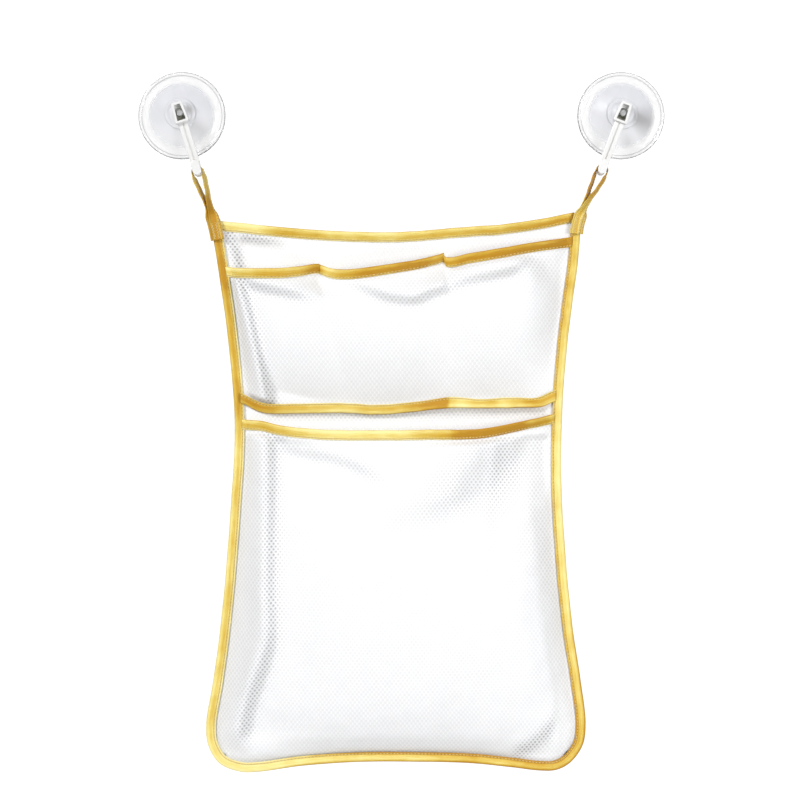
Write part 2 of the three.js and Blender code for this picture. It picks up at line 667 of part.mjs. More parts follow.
const organizer = new THREE.Group();
for (const [side, name, lean] of [[-1, "left", leftLean], [1, "right", rightLean]]) {
  const station = new THREE.Group();
  station.position.x = (side * cupSpacing) / 2;
  const hook = meshOf(name + "_hook", hookGeometry(), whitePlastic);
  hook.rotation.y = side * lean;
  station.add(meshOf(name + "_suction_cup", cupGeometry(), clearPlastic), hook);
  organizer.add(station);
}
organizer.add(
  meshOf("left_hanging_loop", loopGeometry(-1, leftBar, leftLean, leftDrop), goldTape),
  meshOf("right_hanging_loop", loopGeometry(1, rightBar, rightLean, rightDrop), goldTape),
  meshOf("back_net", sheet(backNet), whiteNet),
  meshOf("upper_pocket_net", upperNetGeometry(), whiteNet),
  meshOf("lower_pocket_net", sheet(lowerNet), whiteNet),
  meshOf("edge_binding", edgeBindingGeometry(), goldTape),
  meshOf("top_binding", crossTapeGeometry(alongRow(backNet[0]), topFold, -1), goldTape),
  meshOf("upper_mouth_binding", crossTapeGeometry(upperMouth, upperMouthFold, -1), goldTape),
  meshOf("upper_base_binding", crossTapeGeometry(upperBase, upperBaseFold, 1), goldTape),
  meshOf("lower_mouth_binding", crossTapeGeometry(alongRow(lowerNet[0]), lowerMouthFold, -1), goldTape),
);

export default organizer;
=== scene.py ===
"""Bath toy organizer: a net bag bound in gold tape that hangs from two suction cups. Metres, +Z up,
front towards -Y. The wall is the plane y = 0, and the origin lies on it midway between the cups."""

import math
from bisect import bisect_right

import bmesh
import bpy
from mathutils import Euler, Matrix, Vector, noise


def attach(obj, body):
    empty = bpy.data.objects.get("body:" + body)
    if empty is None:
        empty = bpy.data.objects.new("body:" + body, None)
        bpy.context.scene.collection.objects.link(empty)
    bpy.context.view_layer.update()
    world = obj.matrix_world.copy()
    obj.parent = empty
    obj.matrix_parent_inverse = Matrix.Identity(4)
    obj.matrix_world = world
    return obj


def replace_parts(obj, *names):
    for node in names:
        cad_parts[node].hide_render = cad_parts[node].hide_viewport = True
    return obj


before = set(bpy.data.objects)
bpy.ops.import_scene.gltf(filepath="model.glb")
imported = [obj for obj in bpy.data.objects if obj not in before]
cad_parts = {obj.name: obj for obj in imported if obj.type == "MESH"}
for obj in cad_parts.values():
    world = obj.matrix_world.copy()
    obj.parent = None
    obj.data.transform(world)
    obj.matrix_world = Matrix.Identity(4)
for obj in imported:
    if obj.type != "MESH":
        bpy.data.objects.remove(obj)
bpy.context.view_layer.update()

# Camera
CAMERA_PLACE = (-0.00123, -1.8, -0.25)
CAMERA_LENS = 92.05
CAMERA_SENSOR = 36

# Tape and net
GAP = 0.0003  # play of a loop on its bar
TAPE_WIDTH = 0.0086
TAPE_PLY = 0.00048
NET_THICKNESS = 0.0004
NET_INSET = 0.0015
NET_PITCH = 0.0037  # from hole to hole across
UPPER_ROUGHNESS = 0.0005
LOWER_ROUGHNESS = 0.0012
BACK_ROUGHNESS = 0.0003
WRINKLE_SIZE = 0.035
FINE_WRINKLE_SIZE = 0.013
FLAT_INSET = TAPE_WIDTH + 0.001  # the nets stand out from here on
BUTT_INSET = TAPE_WIDTH - 0.0022  # where a crossing tape ends in the side binding
TAPE_REACH = 0.0097  # from the fold round to a free edge
SEAM_REACH = 0.0082  # from the fold round to the seam
SEAM_SHARE = 0.83  # of the tape's width, where the thread runs
SEAM_HEIGHT = 0.75  # of half the tape's thickness
SEAM_LINE = 0.0008  # half the width of the darker line along a seam
RIB_PITCH = 0.0007
TAPE_THREAD_PITCH = 0.0005
TAPE_SWAY = 0.00025  # sideways, of the edge binding
TAPE_RIPPLE = 0.0003  # up and down, of the crossing tapes
STITCH_PITCH = 0.003
STITCH_LENGTH = 0.0023
THREAD_RADIUS = 0.00036

# Depths in front of the wall
LOOP_DEPTH = 0.026
EDGE_FRONT = 0.02455
EDGE_BACK = 0.02055
EDGE_HALF = (EDGE_FRONT - EDGE_BACK) / 2
CROSS_HALF = 0.00125  # half the thickness of a crossing tape
POCKET_FACE = 0.0230
BACK_FACE = 0.0221
POCKET_RIM = 0.02275
BACK_RIM = 0.02235
BASE_LIFT = 0.001  # of the base tape, in front of the pockets' net
MOUTH_LIFT = 0.0008  # least lift of a mouth tape

# Bag
HALF_WIDTH = 0.165
HEIGHT = 0.479
SHIFT = -0.0035  # of the bag's middle, sideways
BAG_TOP = -0.093882
CROSS_LENGTH = 0.29
MOUTH_STEP_UP = 0.0012  # where the tape of the small pockets doubles back on itself
MOUTH_STEP_DOWN = 0.0032
BUTT_HOLD = 0.012  # share of a crossing tape's length in which its tilt fades to each end
UPPER_BELLY = 0.020
LOWER_BELLY = 0.042
SEAM_LIFT = 0.0012  # the mouth tape keeps the net off the back at the seams
SEAM_LIFT_FADE = 0.12  # of the width, next to each side

# How full the pockets are: shares of the belly at the mouth and in the sag, and powers of their shape
UPPER_MOUTH_SHARE = 0.75
UPPER_SAG_SHARE = 0.7
UPPER_SAG_POWER = 0.9
LOWER_MOUTH_SHARE = 0.5
LOWER_SAG_SHARE = 0.8
LOWER_SAG_POWER = 1.4
LOWER_ARCH_POWER = 3.2
SEAM_FILL = 0.72  # how far the two inner seams fill out below the mouth
LINE_STEP = 0.001  # to both sides of a place where the slope of a crease's line is measured
TAPE_SLOPE_STEP = 0.0012  # the same, for the slope of the net under a crossing tape
CREASE_RISE = 0.64  # of a crease's drop, in front of the cloth

# Cells of the nets across and down, and stations of the tapes
UPPER_CELLS = (130, 64)
LOWER_CELLS = (140, 150)
BACK_CELLS = (120, 160)
EDGE_STATIONS = 620
CROSS_STATIONS = 240

# Hooks and loops
CUP_SPACING = 0.386
HOOK_REACH = 0.0544
LEFT_LEAN = math.radians(17.5)
RIGHT_LEAN = math.radians(21)
BAR_RADIUS = 0.0035
LOOP_WIDTH = 0.0092
LOOP_THICKNESS = 0.001
LOOP_RADIUS = 0.0043
LOOP_SEAM = LOOP_WIDTH * 0.36  # from the middle of the tape
LOOP_EYE = 0.031  # from the bar down to where the strands meet
LOOP_SEWN = 0.0172  # overlap on the corner of the bag
LOOP_OUTSET = 0.0008  # past the middle of the side binding
LOOP_PARTING = 0.0012  # each strand lies this far aside where they are sewn
LOOP_RIDGE = 0.0003
STRAND_STATIONS = 90
CROWN_STATIONS = 20
LOOP_SIDES = 20
TACK_ROWS = 12
TACK_MARGIN = 0.0015  # free of the tack at both ends of the sewn base
THREAD_PROUD = 0.00005  # lift of the tack off the tape
SEWN_START = LOOP_EYE - 0.002  # down from the bar, where the strands begin to lie side by side
SEWN_FULL = LOOP_EYE + 0.012

# Cup and hook: rings of the cup by radius, and places where a finish changes
DOME_EDGE = 0.0300
DOME_FADE = 0.004
GROOVE_RADIUS = 0.0353
GROOVE_HALF = 0.0007
BEAD_RADIUS = 0.0374
RING_FADE = 0.0006
STEM_START = 0.0185  # off the wall
INSIDE_START = 0.0222  # off the wall, the foremost place that counts as the inside of the head
INSIDE_RADIUS = 0.0085
WINDOW_FOOT = 0.0022  # down along the hook from the stem's axis
SECTOR_START = 0.009
FOOT_START = 0.014
HEAD_SHADE_ASIDE = 0.0075
HEAD_SHADE_ABOVE = 0.0035

# Lights and floor
LIT_PLACE = (0, 0, -0.3)
KEY_PLACE, KEY_SIZE, KEY_POWER = (-3.05, -3.35, 2.325), 1.25, 178
FILL_PLACE, FILL_SIZE, FILL_POWER = (1.45, -1.9, -0.1), 1.0, 31
FLOOR_HALF_WIDTH = 1.2
FLOOR_LEVEL = -0.95

# The bound edge and the lines of the crossing tapes: shares of the half width, and of the height down
EDGE = (
    (-0.985, 0), (-0.943, 0.09), (-0.886, 0.235), (-0.857, 0.37), (-0.875, 0.507), (-0.928, 0.725),
    (-0.97, 0.834), (-1.008, 0.918), (-0.996, 0.953), (-0.936, 0.985), (-0.829, 1), (-0.734, 1),
    (-0.513, 0.99), (-0.25, 0.983), (0.1, 0.982), (0.4, 0.985), (0.6, 0.992), (0.75, 0.998),
    (0.836, 0.997), (0.909, 0.984), (0.976, 0.952), (0.992, 0.915), (0.965, 0.834), (0.918, 0.725),
    (0.867, 0.507), (0.866, 0.37), (0.892, 0.235), (0.924, 0.144), (0.951, 0.075), (0.97, -0.012),
)
TOP_TAPE = (
    (-0.925, 0.01), (-0.72, 0.0175), (-0.513, 0.024), (-0.302, 0.0285), (-0.09, 0.0305),
    (0.12, 0.028), (0.33, 0.0215), (0.54, 0.0165), (0.75, 0.0065), (0.883, -0.0025),
)
UPPER_MOUTH = (
    (-0.892, 0.0935), (-0.792, 0.097), (-0.618, 0.0975), (-0.513, 0.0935), (-0.425, 0.0873),
    (-0.36, 0.0955), (-0.302, 0.099), (-0.197, 0.0975), (0.014, 0.0864), (0.119, 0.0791),
    (0.235, 0.0691), (0.28, 0.0725), (0.35, 0.0712), (0.541, 0.061), (0.7, 0.0505), (0.9145, 0.0393),
)
UPPER_BASE = (
    (-0.813, 0.324), (-0.713, 0.34), (-0.618, 0.342), (-0.302, 0.3405), (-0.09, 0.3435),
    (0.08, 0.339), (0.256, 0.333), (0.5, 0.333), (0.7515, 0.3305), (0.8145, 0.322),
)
LOWER_MOUTH = (
    (-0.803, 0.37), (-0.71, 0.373), (-0.618, 0.38), (-0.513, 0.385), (-0.302, 0.389), (0.2, 0.388),
    (0.435, 0.385), (0.5405, 0.379), (0.646, 0.371), (0.8145, 0.36),
)
SEAMS_AT_MOUTH = (0, 0.262, 0.63, 1)
SEAMS_AT_BASE = (0, 0.33, 0.672, 1)

# The gold from pale (0) to deep (1): a tape's tone picks from it, so its pale end serves as painted
# highlight and its deep end as painted shade
GOLD_TONES = (
    (0.0, (0.90, 0.79, 0.34)), (0.25, (0.81, 0.67, 0.22)), (0.5, (0.69, 0.50, 0.10)),
    (0.75, (0.60, 0.365, 0.038)), (1.0, (0.49, 0.245, 0.014)),
)
GOLD_SHADE = (0.26, 0.14, 0.02)
THREAD_DEEP = (0.56, 0.36, 0.07)
THREAD_BRIGHT = (0.88, 0.72, 0.33)
NET_WHITE = (0.86, 0.865, 0.875)
NET_SHADE = (0.27, 0.27, 0.28)
HOOK_WHITE = (0.77, 0.77, 0.765)
# Painted light for the shaded inside of the hook's head
HOOK_INSIDE_LIT = (0.98, 0.98, 0.96)
CLEAR = (0.97, 0.97, 0.97)
# The cup dome's grey is painted shade of the wall seen through it, paler low down as painted light
DOME_BACK_SHADE = (0.80, 0.805, 0.84)
DOME_BACK_LIT_LOW = (0.92, 0.925, 0.945)
DOME_SHADE = (0.50, 0.50, 0.51)
# Painted shade on the cup's stem and knob
STEM_SHADE_GREY = (0.36, 0.363, 0.35)
STEM_SHADE = (0.31, 0.305, 0.25)
# Painted reflection: grey lines on the cup's clear rim
RIM_REFLECTION_GREY = (0.58, 0.58, 0.59)


def mix(a, b, share):
    return a + (b - a) * share


def clamp(value):
    return max(0.0, min(1.0, value))


def ease(value, start, end):
    t = clamp((value - start) / (end - start))
    return t * t * (3 - 2 * t)


def on_bag(place):
    """The point for shares of the half width and of the height."""
    return Vector((SHIFT + place[0] * HALF_WIDTH, 0, BAG_TOP - place[1] * HEIGHT))


class SmoothLine:
    """A centripetal spline through points, walked by its share of length."""

    def __init__(self, points, steps=24):
        ends = [2 * points[0] - points[1], *points, 2 * points[-1] - points[-2]]
        self.points = []
        for a, b, c, d in zip(ends, ends[1:], ends[2:], ends[3:]):
            knots = [0]
            for p, q in ((a, b), (b, c), (c, d)):
                knots.append(knots[-1] + math.sqrt((q - p).length))
            for step in range(steps):
                self.points.append(self.between((a, b, c, d), knots, step / steps))
        self.points.append(points[-1])
        self.lengths = [0]
        for p, q in zip(self.points, self.points[1:]):
            self.lengths.append(self.lengths[-1] + (q - p).length)
        self.length = self.lengths[-1]

    @staticmethod
    def between(corners, knots, share):
        t = mix(knots[1], knots[2], share)
        level = list(corners)
        for gap in (1, 2):
            level = [
                mix(level[i], level[i + 1], (t - knots[i]) / (knots[i + gap] - knots[i]))
                for i in range(len(level) - 1)
            ]
        return mix(level[0], level[1], (t - knots[1]) / (knots[2] - knots[1]))

    def find(self, share):
        length = clamp(share) * self.length
        i = min(bisect_right(self.lengths, length), len(self.points) - 1)
        span = self.lengths[i] - self.lengths[i - 1]
        return i, (length - self.lengths[i - 1]) / span

    def at(self, share):
        i, t = self.find(share)
        return self.points[i - 1].lerp(self.points[i], t)

    def along(self, share):
        i, t = self.find(share)
        here = self.points[i] - self.points[i - 1]
        other = min(max(i + (1 if t > 0.5 else -1), 1), len(self.points) - 1)
        near = self.points[other] - self.points[other - 1]
        return here.normalized().lerp(near.normalized(), abs(t - 0.5)).normalized()


edge = SmoothLine([on_bag(place) for place in EDGE])


def edge_at(share, inset, depth=0.0):
    """A point this far inside the bound edge, at a share of its length."""
    point, way = edge.at(share), edge.along(share)
    return Vector((point.x - way.z * inset, -depth, point.z + way.x * inset))


def corner_share(side):
    """The share of the bound edge at its lower left or lower right corner."""
    shares = [i / 400 for i in range(401)]
    return max(shares, key=lambda share: side * edge.at(share).x - edge.at(share).z)


LEFT_CORNER = corner_share(-1)
RIGHT_CORNER = corner_share(1)


def smooth_height(places):
    """A smooth height for each x through a row of places."""

    def slope(i):
        before, after = places[max(i - 1, 0)], places[min(i + 1, len(places) - 1)]
        return (after.z - before.z) / (after.x - before.x)

    slopes = [slope(i) for i in range(len(places))]

    def height(x):
        i = 0
        while i < len(places) - 2 and x > places[i + 1].x:
            i += 1
        a, b = places[i], places[i + 1]
        t = (x - a.x) / (b.x - a.x)
        if t < 0:
            return a.z + slopes[i] * (x - a.x)
        if t > 1:
            return b.z + slopes[i + 1] * (x - b.x)
        bend = t * (1 - t) * (b.x - a.x) * (slopes[i] * (1 - t) - slopes[i + 1] * t)
        return mix(a.z, b.z, t * t * (3 - 2 * t)) + bend

    return height


def line_through(table):
    return smooth_height([on_bag(place) for place in table])


def raised(line, rise):
    return lambda x: line(x) + rise


def line_between(first, second, share):
    return lambda x: mix(first(x), second(x), share)


top_fold = raised(line_through(TOP_TAPE), TAPE_WIDTH / 2)
upper_mouth_line = line_through(UPPER_MOUTH)


def upper_mouth_fold(x):
    """The mouth line of the small pockets, with the step where the tape doubles back on itself."""
    share = (x - SHIFT) / HALF_WIDTH
    step = MOUTH_STEP_UP * ease(share, 0.20, 0.24) - MOUTH_STEP_DOWN * ease(share, 0.242, 0.262)
    return upper_mouth_line(x) + TAPE_WIDTH / 2 + step * ease(share, 0.4, 0.262) * (share > 0.1)


upper_base_fold = raised(line_through(UPPER_BASE), -TAPE_WIDTH / 2)
lower_mouth_fold = raised(line_through(LOWER_MOUTH), TAPE_WIDTH / 2)


def smooth_table(rows):
    """A smooth value between the rows of a table, level beyond its ends."""

    def value_at(x):
        for (a, low), (b, high) in zip(rows, rows[1:]):
            if x <= b:
                return mix(low, high, ease(x, a, b))
        return rows[-1][1]

    return value_at


def across_bag(pairs):
    """A smooth value for each share of the half width."""
    return smooth_table([(SHIFT + share * HALF_WIDTH, value) for share, value in pairs])


# Tilts of the tapes in degrees
upper_mouth_tilt = across_bag(
    ((-0.9, 4), (-0.55, 6), (-0.43, 24), (-0.36, 0), (-0.25, 16), (0.1, 24), (0.25, 26), (0.28, 2),
     (0.36, 16), (0.7, 24), (0.86, 14))
)
upper_base_tilt = across_bag(
    ((-0.8, -16), (-0.66, -10), (-0.6, 0), (-0.3, 6), (0.1, 10), (0.3, 22), (0.7, 24), (0.8, 6))
)
lower_mouth_tilt = across_bag(((-0.8, 4), (-0.2, 0), (0.2, 4), (0.34, 22), (0.7, 28), (0.82, 18)))
top_tilt = across_bag(((-0.9, 2), (-0.5, 8), (0.9, 9)))

# Lumps along the free edge of the base tape, in metres
base_lumps = across_bag(
    ((-0.3, 0), (0.14, 0), (0.28, 0.0012), (0.45, -0.0004), (0.58, 0.0009), (0.72, 0.0), (0.79, 0.0014))
)

# Tone from pale (0) to deep (1), which is painted light and shade, by share of the half width, and for
# the edge by share of its length
top_tone = across_bag(
    ((-0.9, 0.1), (-0.75, 0.1), (-0.62, 0.42), (-0.3, 0.3), (-0.1, 0.25), (0.1, 0.35), (0.5, 0.42),
     (0.85, 0.6))
)
upper_mouth_tone = across_bag(
    ((-0.9, 0.05), (-0.78, 0.35), (-0.6, 0.5), (-0.5, 0.6), (-0.43, 0.85), (-0.37, 0.3), (-0.3, 0.42),
     (-0.2, 0.7), (0, 0.9), (0.12, 0.95), (0.23, 0.7), (0.28, 0.6), (0.4, 0.75), (0.55, 0.85),
     (0.8, 0.9), (0.88, 1.1))
)
upper_base_tone = across_bag(
    ((-0.8, 0.75), (-0.7, 0.65), (-0.62, 0.45), (-0.35, 0.4), (-0.1, 0.38), (0, 0.5), (0.1, 0.55),
     (0.16, 0.9), (0.25, 1.1), (0.285, 0.3), (0.33, 0.1), (0.41, 0.4), (0.49, 0.3), (0.56, 0.1),
     (0.63, 0.25), (0.72, 0.6), (0.8, 0.55))
)
lower_mouth_tone = across_bag(
    ((-0.85, 0.3), (-0.72, 0.5), (-0.55, 0.22), (-0.3, 0.08), (0, 0.12), (0.12, 0.42), (0.25, 0.6),
     (0.34, 0.95), (0.45, 1.25), (0.62, 1.2), (0.7, 0.6), (0.8, 0.5))
)
# Painted light and shade along the edge binding
edge_light_and_shade = smooth_table((
    (0, 0.85), (0.045, 0.85), (0.06, 0.55), (0.105, 0.55), (0.12, 0.7), (0.14, 0.4), (0.16, 0.28),
    (0.34, 0.28), (0.38, 0.02), (0.44, 0), (0.52, 0.15), (0.545, 0.38), (0.56, 0.25), (0.6, 0.38),
    (0.64, 0.3), (0.68, 0.12), (0.84, 0), (0.9, 0.15), (0.95, 0.25), (0.98, 0.3), (1, 0.55),
))


def edge_tone(share, inset):
    """The edge's painted light and shade: painted shade at both its borders along the bottom and the
    right side, and painted light at the inner border near the top left."""
    outer = 0.95 * ease(share, 0.38, 0.44) - 0.65 * ease(share, 0.68, 0.76)
    inner = ease(share, 0.38, 0.5) * (1.15 - 0.45 * ease(share, 0.62, 0.7))
    inner -= 0.35 * ease(share, 0.14, 0.1)
    borders = inner * ease(inset, 0.55, 0.95) + outer * ease(inset, 0.36, 0.02)
    return edge_light_and_shade(share) + borders


def stands_out(tilt, x, inset):
    """How far a tilted tape carries the cloth forward at this distance from its fold."""
    return max(FLAT_INSET - inset, 0) * math.sin(math.radians(tilt(x)))


def meets(line, side, inset):
    """The share of the bound edge where a line across the bag meets it."""
    high, low = (0, LEFT_CORNER) if side < 0 else (1, RIGHT_CORNER)
    for _ in range(30):
        middle = (high + low) / 2
        point = edge_at(middle, inset)
        if point.z > line(point.x):
            high = middle
        else:
            low = middle
    return (high + low) / 2


# Finishes


class Socket:
    """A value that changes over a surface, with arithmetic that adds its nodes."""

    def __init__(self, finish, output):
        self.finish = finish
        self.output = output

    def maths(self, operation, *values):
        return self.finish.node("ShaderNodeMath", {"operation": operation}, dict(enumerate(values)))

    def __add__(self, other):
        return self.maths("ADD", self, other)

    def __sub__(self, other):
        return self.maths("SUBTRACT", self, other)

    def __rsub__(self, other):
        return self.maths("SUBTRACT", other, self)

    def __mul__(self, other):
        return self.maths("MULTIPLY", self, other)

    def __pow__(self, other):
        return self.maths("POWER", self, other)

    def __abs__(self):
        return self.maths("ABSOLUTE", self)

    __radd__ = __add__
    __rmul__ = __mul__

    def least(self, other):
        return self.maths("MINIMUM", self, other)

    def fraction(self):
        return self.maths("FRACT", self)

    def wave(self):
        return self.maths("SINE", self)

    def limited(self):
        return self.finish.node("ShaderNodeClamp", {}, {0: self})


class Finish:
    """A material, or the light of the room, whose nodes are added one call at a time."""

    def __init__(self, owner):
        owner.use_nodes = True
        self.owner = owner
        self.tree = owner.node_tree

    def feed(self, socket, value):
        if isinstance(value, Socket):
            self.tree.links.new(value.output, socket)
        else:
            socket.default_value = (*value, 1) if isinstance(value, tuple) else value

    def node(self, kind, settings, inputs, output=0):
        made = self.tree.nodes.new(kind)
        for name, value in settings.items():
            if name == "stops":
                stops = made.color_ramp.elements
                while len(stops) < len(value):
                    stops.new(1.0)
                for stop, (place, colour) in zip(stops, value):
                    stop.position, stop.color = place, (*colour, 1)
            else:
                setattr(made, name, value)
        for name, value in inputs.items():
            self.feed(made.inputs[name], value)
        return Socket(self, made.outputs[output])

    def dress(self, **inputs):
        shader = self.tree.nodes["Principled BSDF"]
        for name, value in inputs.items():
            self.feed(shader.inputs[name.replace("_", " ")], value)

    def blend(self, share, first, second):
        return self.node("ShaderNodeMix", {"data_type": "RGBA"}, {0: share, 6: first, 7: second}, 2)

    def ramp(self, share, stops):
        return self.node("ShaderNodeValToRGB", {"stops": stops}, {0: share})

    def place(self):
        return self.node("ShaderNodeTexCoord", {}, {}, 3)

    def tone(self):
        return self.node("ShaderNodeAttribute", {"attribute_name": "tone"}, {}, 2)

    def join(self, x, y, z):
        return self.node("ShaderNodeCombineXYZ", {}, {0: x, 1: y, 2: z})

    def split(self, vector):
        parts = self.node("ShaderNodeSeparateXYZ", {}, {0: vector})
        return [Socket(self, output) for output in parts.output.node.outputs]

    def flat(self):
        return self.split(self.node("ShaderNodeUVMap", {"uv_map": "Flat"}, {}))

    def cloudy(self, vector, scale, detail=2.0):
        return self.node("ShaderNodeTexNoise", {}, {"Vector": vector, "Scale": scale, "Detail": detail})

    def bump(self, height, distance):
        return self.node("ShaderNodeBump", {}, {"Height": height, "Distance": distance})


def material(name, **inputs):
    finish = Finish(bpy.data.materials.new(name))
    finish.dress(**inputs)
    return finish


def scaled(colour, share):
    return tuple(part * share for part in colour)


# Tone across a tape from its fold to its free edge, and across a loop's tape, which is painted
# highlight and painted shade
FOLDED_TONES = (
    (0.0, 1.0), (0.06, 0.7), (0.13, 0.28), (0.3, 0.38), (0.48, 0.62), (0.6, 0.66), (0.72, 0.55),
    (0.8, 0.43), (0.9, 0.12), (1.0, 0.3),
)
LOOP_TONES = (
    (0.0, 0.6), (0.12, 0.2), (0.3, 0.6), (0.5, 0.7), (0.65, 0.6), (0.8, 0.1), (0.92, 0.5), (1.0, 1.0),
)


def gold_tape(name, tones, share_of, seam):
    """Polyester tape: fine ribs across it, a satin sheen, streaks along it and slow changes of tone.
    Its tone also carries painted light and shade, with a line of painted shade in the groove where it
    is sewn."""
    finish = material(name, Specular_IOR_Level=0.22)
    along, across, _ = finish.flat()
    ribs = (along * (2 * math.pi / RIB_PITCH)).wave()
    threads = (across * (2 * math.pi / TAPE_THREAD_PITCH)).wave()
    clouds = finish.cloudy(finish.place(), scale=45, detail=3)
    streaks = finish.cloudy(finish.join(along * 70, across * 900, 0.0), scale=1.0)
    profile = finish.ramp(share_of(across), [(place, (grey, grey, grey)) for place, grey in tones])
    # The tone attribute and the profile across the tape are painted light and shade; clouds and streaks
    # are the tape's own
    tone = finish.tone() + profile - 0.4 + (clouds - 0.5) * 0.7 + (streaks - 0.5) * 0.5
    # Painted shade in the groove where the tape is sewn
    seam_line = (1 - abs(abs(across) - seam) * (1 / SEAM_LINE)).limited()
    finish.dress(
        Base_Color=finish.blend(seam_line * 0.75, finish.ramp(tone, GOLD_TONES), GOLD_SHADE),
        Roughness=streaks * 0.2 + 0.32,
        Normal=finish.bump(ribs * 0.5 + threads * 0.3, distance=0.00006),
    )
    return finish.owner


def gold_thread():
    """Sewing thread in the tape's colour, a little fuzzy."""
    finish = material("gold_thread", Roughness=0.45, Sheen_Weight=0.2)
    fuzz = finish.cloudy(finish.place(), scale=900)
    finish.dress(
        Base_Color=finish.blend(fuzz, THREAD_DEEP, THREAD_BRIGHT),
        Normal=finish.bump(fuzz, distance=0.0001),
    )
    return finish.owner


def white_net():
    """Knitted mesh: staggered holes that finer threads cross, a little uneven. Painted shade darkens it
    along its creases, with dark dots in its holes."""
    row_share, hole_share, dot_share = 1.3, 0.36, 0.32
    finish = material("white_net", Sheen_Weight=0.1)
    x, y, _ = finish.flat()
    sway = finish.cloudy(finish.place(), scale=60) * 0.5
    column, row = x * (1 / NET_PITCH) + sway, y * (1 / (NET_PITCH * row_share)) + sway

    def reach(shift):
        sideways = (column + shift).fraction() - 0.5
        upwards = ((row + shift).fraction() - 0.5) * row_share
        return (sideways * sideways + upwards * upwards) ** 0.5

    nearest = reach(0.0).least(reach(0.5))
    strand = ((nearest - hole_share) * 9 + 0.5).limited()
    dots = ((dot_share - nearest) * 6).limited()
    clouds = finish.cloudy(finish.place(), scale=30)
    crease_shade = finish.tone()
    plain = finish.blend(clouds, scaled(NET_WHITE, 0.98), NET_WHITE)
    # Painted shade in the creases: dark dots in the holes and a light grey between them
    finish.dress(
        Base_Color=finish.blend((crease_shade * (dots * 0.8 + 0.16)).limited(), plain, NET_SHADE),
        Roughness=clouds * 0.1 + 0.5,
        Alpha=strand * 0.14 + crease_shade * 0.2 + 0.86,
        Normal=finish.bump(nearest, distance=0.0001),
    )
    return finish.owner


def hook_ways(finish, place):
    """1 at the right cup and 0 at the left one, and the places sideways of its middle and down along
    its hook."""
    x, _, z = finish.split(place)
    sideways = abs(x) - CUP_SPACING / 2
    lean = (LEFT_LEAN + RIGHT_LEAN) / 2
    return (x * 1000).limited(), sideways, sideways * -math.sin(lean) - z * math.cos(lean)


def hook_plastic():
    """White plastic, with painted light inside the head and painted shade at the foot of its window."""
    finish = material("hook_plastic", IOR=1.5, Coat_Roughness=0.15)
    place = finish.place()
    grain = finish.cloudy(place, scale=700)
    _, y, z = finish.split(place)
    _, sideways, along = hook_ways(finish, place)
    radius = (sideways * sideways + z * z) ** 0.5
    # Painted light inside the head, lifting the shade of the recess behind its window
    inside = ((y + INSIDE_START) * 4000).limited() * ((INSIDE_RADIUS - radius) * 2000).limited()
    low = ((along - WINDOW_FOOT) * 1000).limited()
    plain = finish.blend(grain, scaled(HOOK_WHITE, 0.97), HOOK_WHITE)
    finish.dress(
        Base_Color=finish.blend(inside, plain, finish.blend(low, HOOK_INSIDE_LIT, STEM_SHADE)),
        Roughness=grain * 0.14 + 0.24,
        Normal=finish.bump(grain, distance=0.00003),
    )
    return finish.owner


def cup_plastic():
    """Clear soft plastic: a clear ring with grey lines of painted reflection, a dome with a frosted
    back whose grey is painted shade and paler low down as painted light, with soft painted shades, and
    a stem in painted shade."""
    finish = material("cup_plastic", IOR=1.42, Transmission_Weight=0.7)
    place = finish.place()
    _, y, z = finish.split(place)
    right, sideways, along = hook_ways(finish, place)
    outward = sideways * (right * 2 - 1)
    radius = (sideways * sideways + z * z) ** 0.5
    dome = ((DOME_EDGE - radius) * (1 / DOME_FADE)).limited()
    groove = (1 - abs(radius - GROOVE_RADIUS) * (1 / GROOVE_HALF)).limited()
    bead = ((radius - BEAD_RADIUS) * (1 / RING_FADE)).limited()
    stem = ((y + STEM_START) * (-1 / RING_FADE)).limited()
    low = ((along - WINDOW_FOOT) * 1000).limited()

    # Shades on the dome: a sector on its outer side, one below it, and one beside the hook's head
    turn = finish.node("ShaderNodeMath", {"operation": "ARCTAN2"}, {0: z, 1: outward})
    sector = (1 - abs(turn + 0.65 - right * 0.4) * 1.4).limited()
    sector = sector * ((radius - SECTOR_START) * 300).limited()
    foot = (1 - abs(turn + 1.35) * 3).limited() * ((radius - FOOT_START) * 100).limited() * right
    aside, above = outward - HEAD_SHADE_ASIDE, z - HEAD_SHADE_ABOVE
    by_head = (1.3 - (aside * aside + above * above * 0.6) ** 0.5 * 220).limited()
    shade = sector * (0.5 + right * 0.95) * (1.25 - radius * 25)
    shade = shade + foot * 0.4 + by_head * (1 - right * 0.6)

    haze = finish.cloudy(place, scale=60)
    # Painted shade: the dome's grey stands for the shaded wall seen through it, paler low down as
    # painted light
    dome_back_shade = finish.blend((0.2 - z * 40).limited(), DOME_BACK_SHADE, DOME_BACK_LIT_LOW)
    # Painted reflection: grey lines on the rim's groove and bead, where the bent clear plastic shows
    # darker surroundings
    ring = finish.blend((groove + bead).limited(), CLEAR, RIM_REFLECTION_GREY)
    shell = finish.blend(dome, ring, finish.blend(shade.limited(), dome_back_shade, DOME_SHADE))
    # Painted shade on the stem and knob, darker at the foot of the hook's window
    finish.dress(
        Base_Color=finish.blend(stem, shell, finish.blend(low, STEM_SHADE_GREY, STEM_SHADE)),
        Roughness=dome * 0.3 + haze * 0.08 + 0.03,
        Normal=finish.bump(haze, distance=0.0001),
    )
    return finish.owner


TAPE_FINISH = gold_tape(
    "gold_tape", FOLDED_TONES, lambda across: abs(across) * (1 / TAPE_REACH), SEAM_REACH
)
LOOP_FINISH = gold_tape(
    "gold_loop_tape", LOOP_TONES, lambda across: across * (1 / LOOP_WIDTH) + 0.5, LOOP_SEAM
)
THREAD_FINISH = gold_thread()
NET_FINISH = white_net()
HOOK_FINISH = hook_plastic()
CUP_FINISH = cup_plastic()


# Making pieces


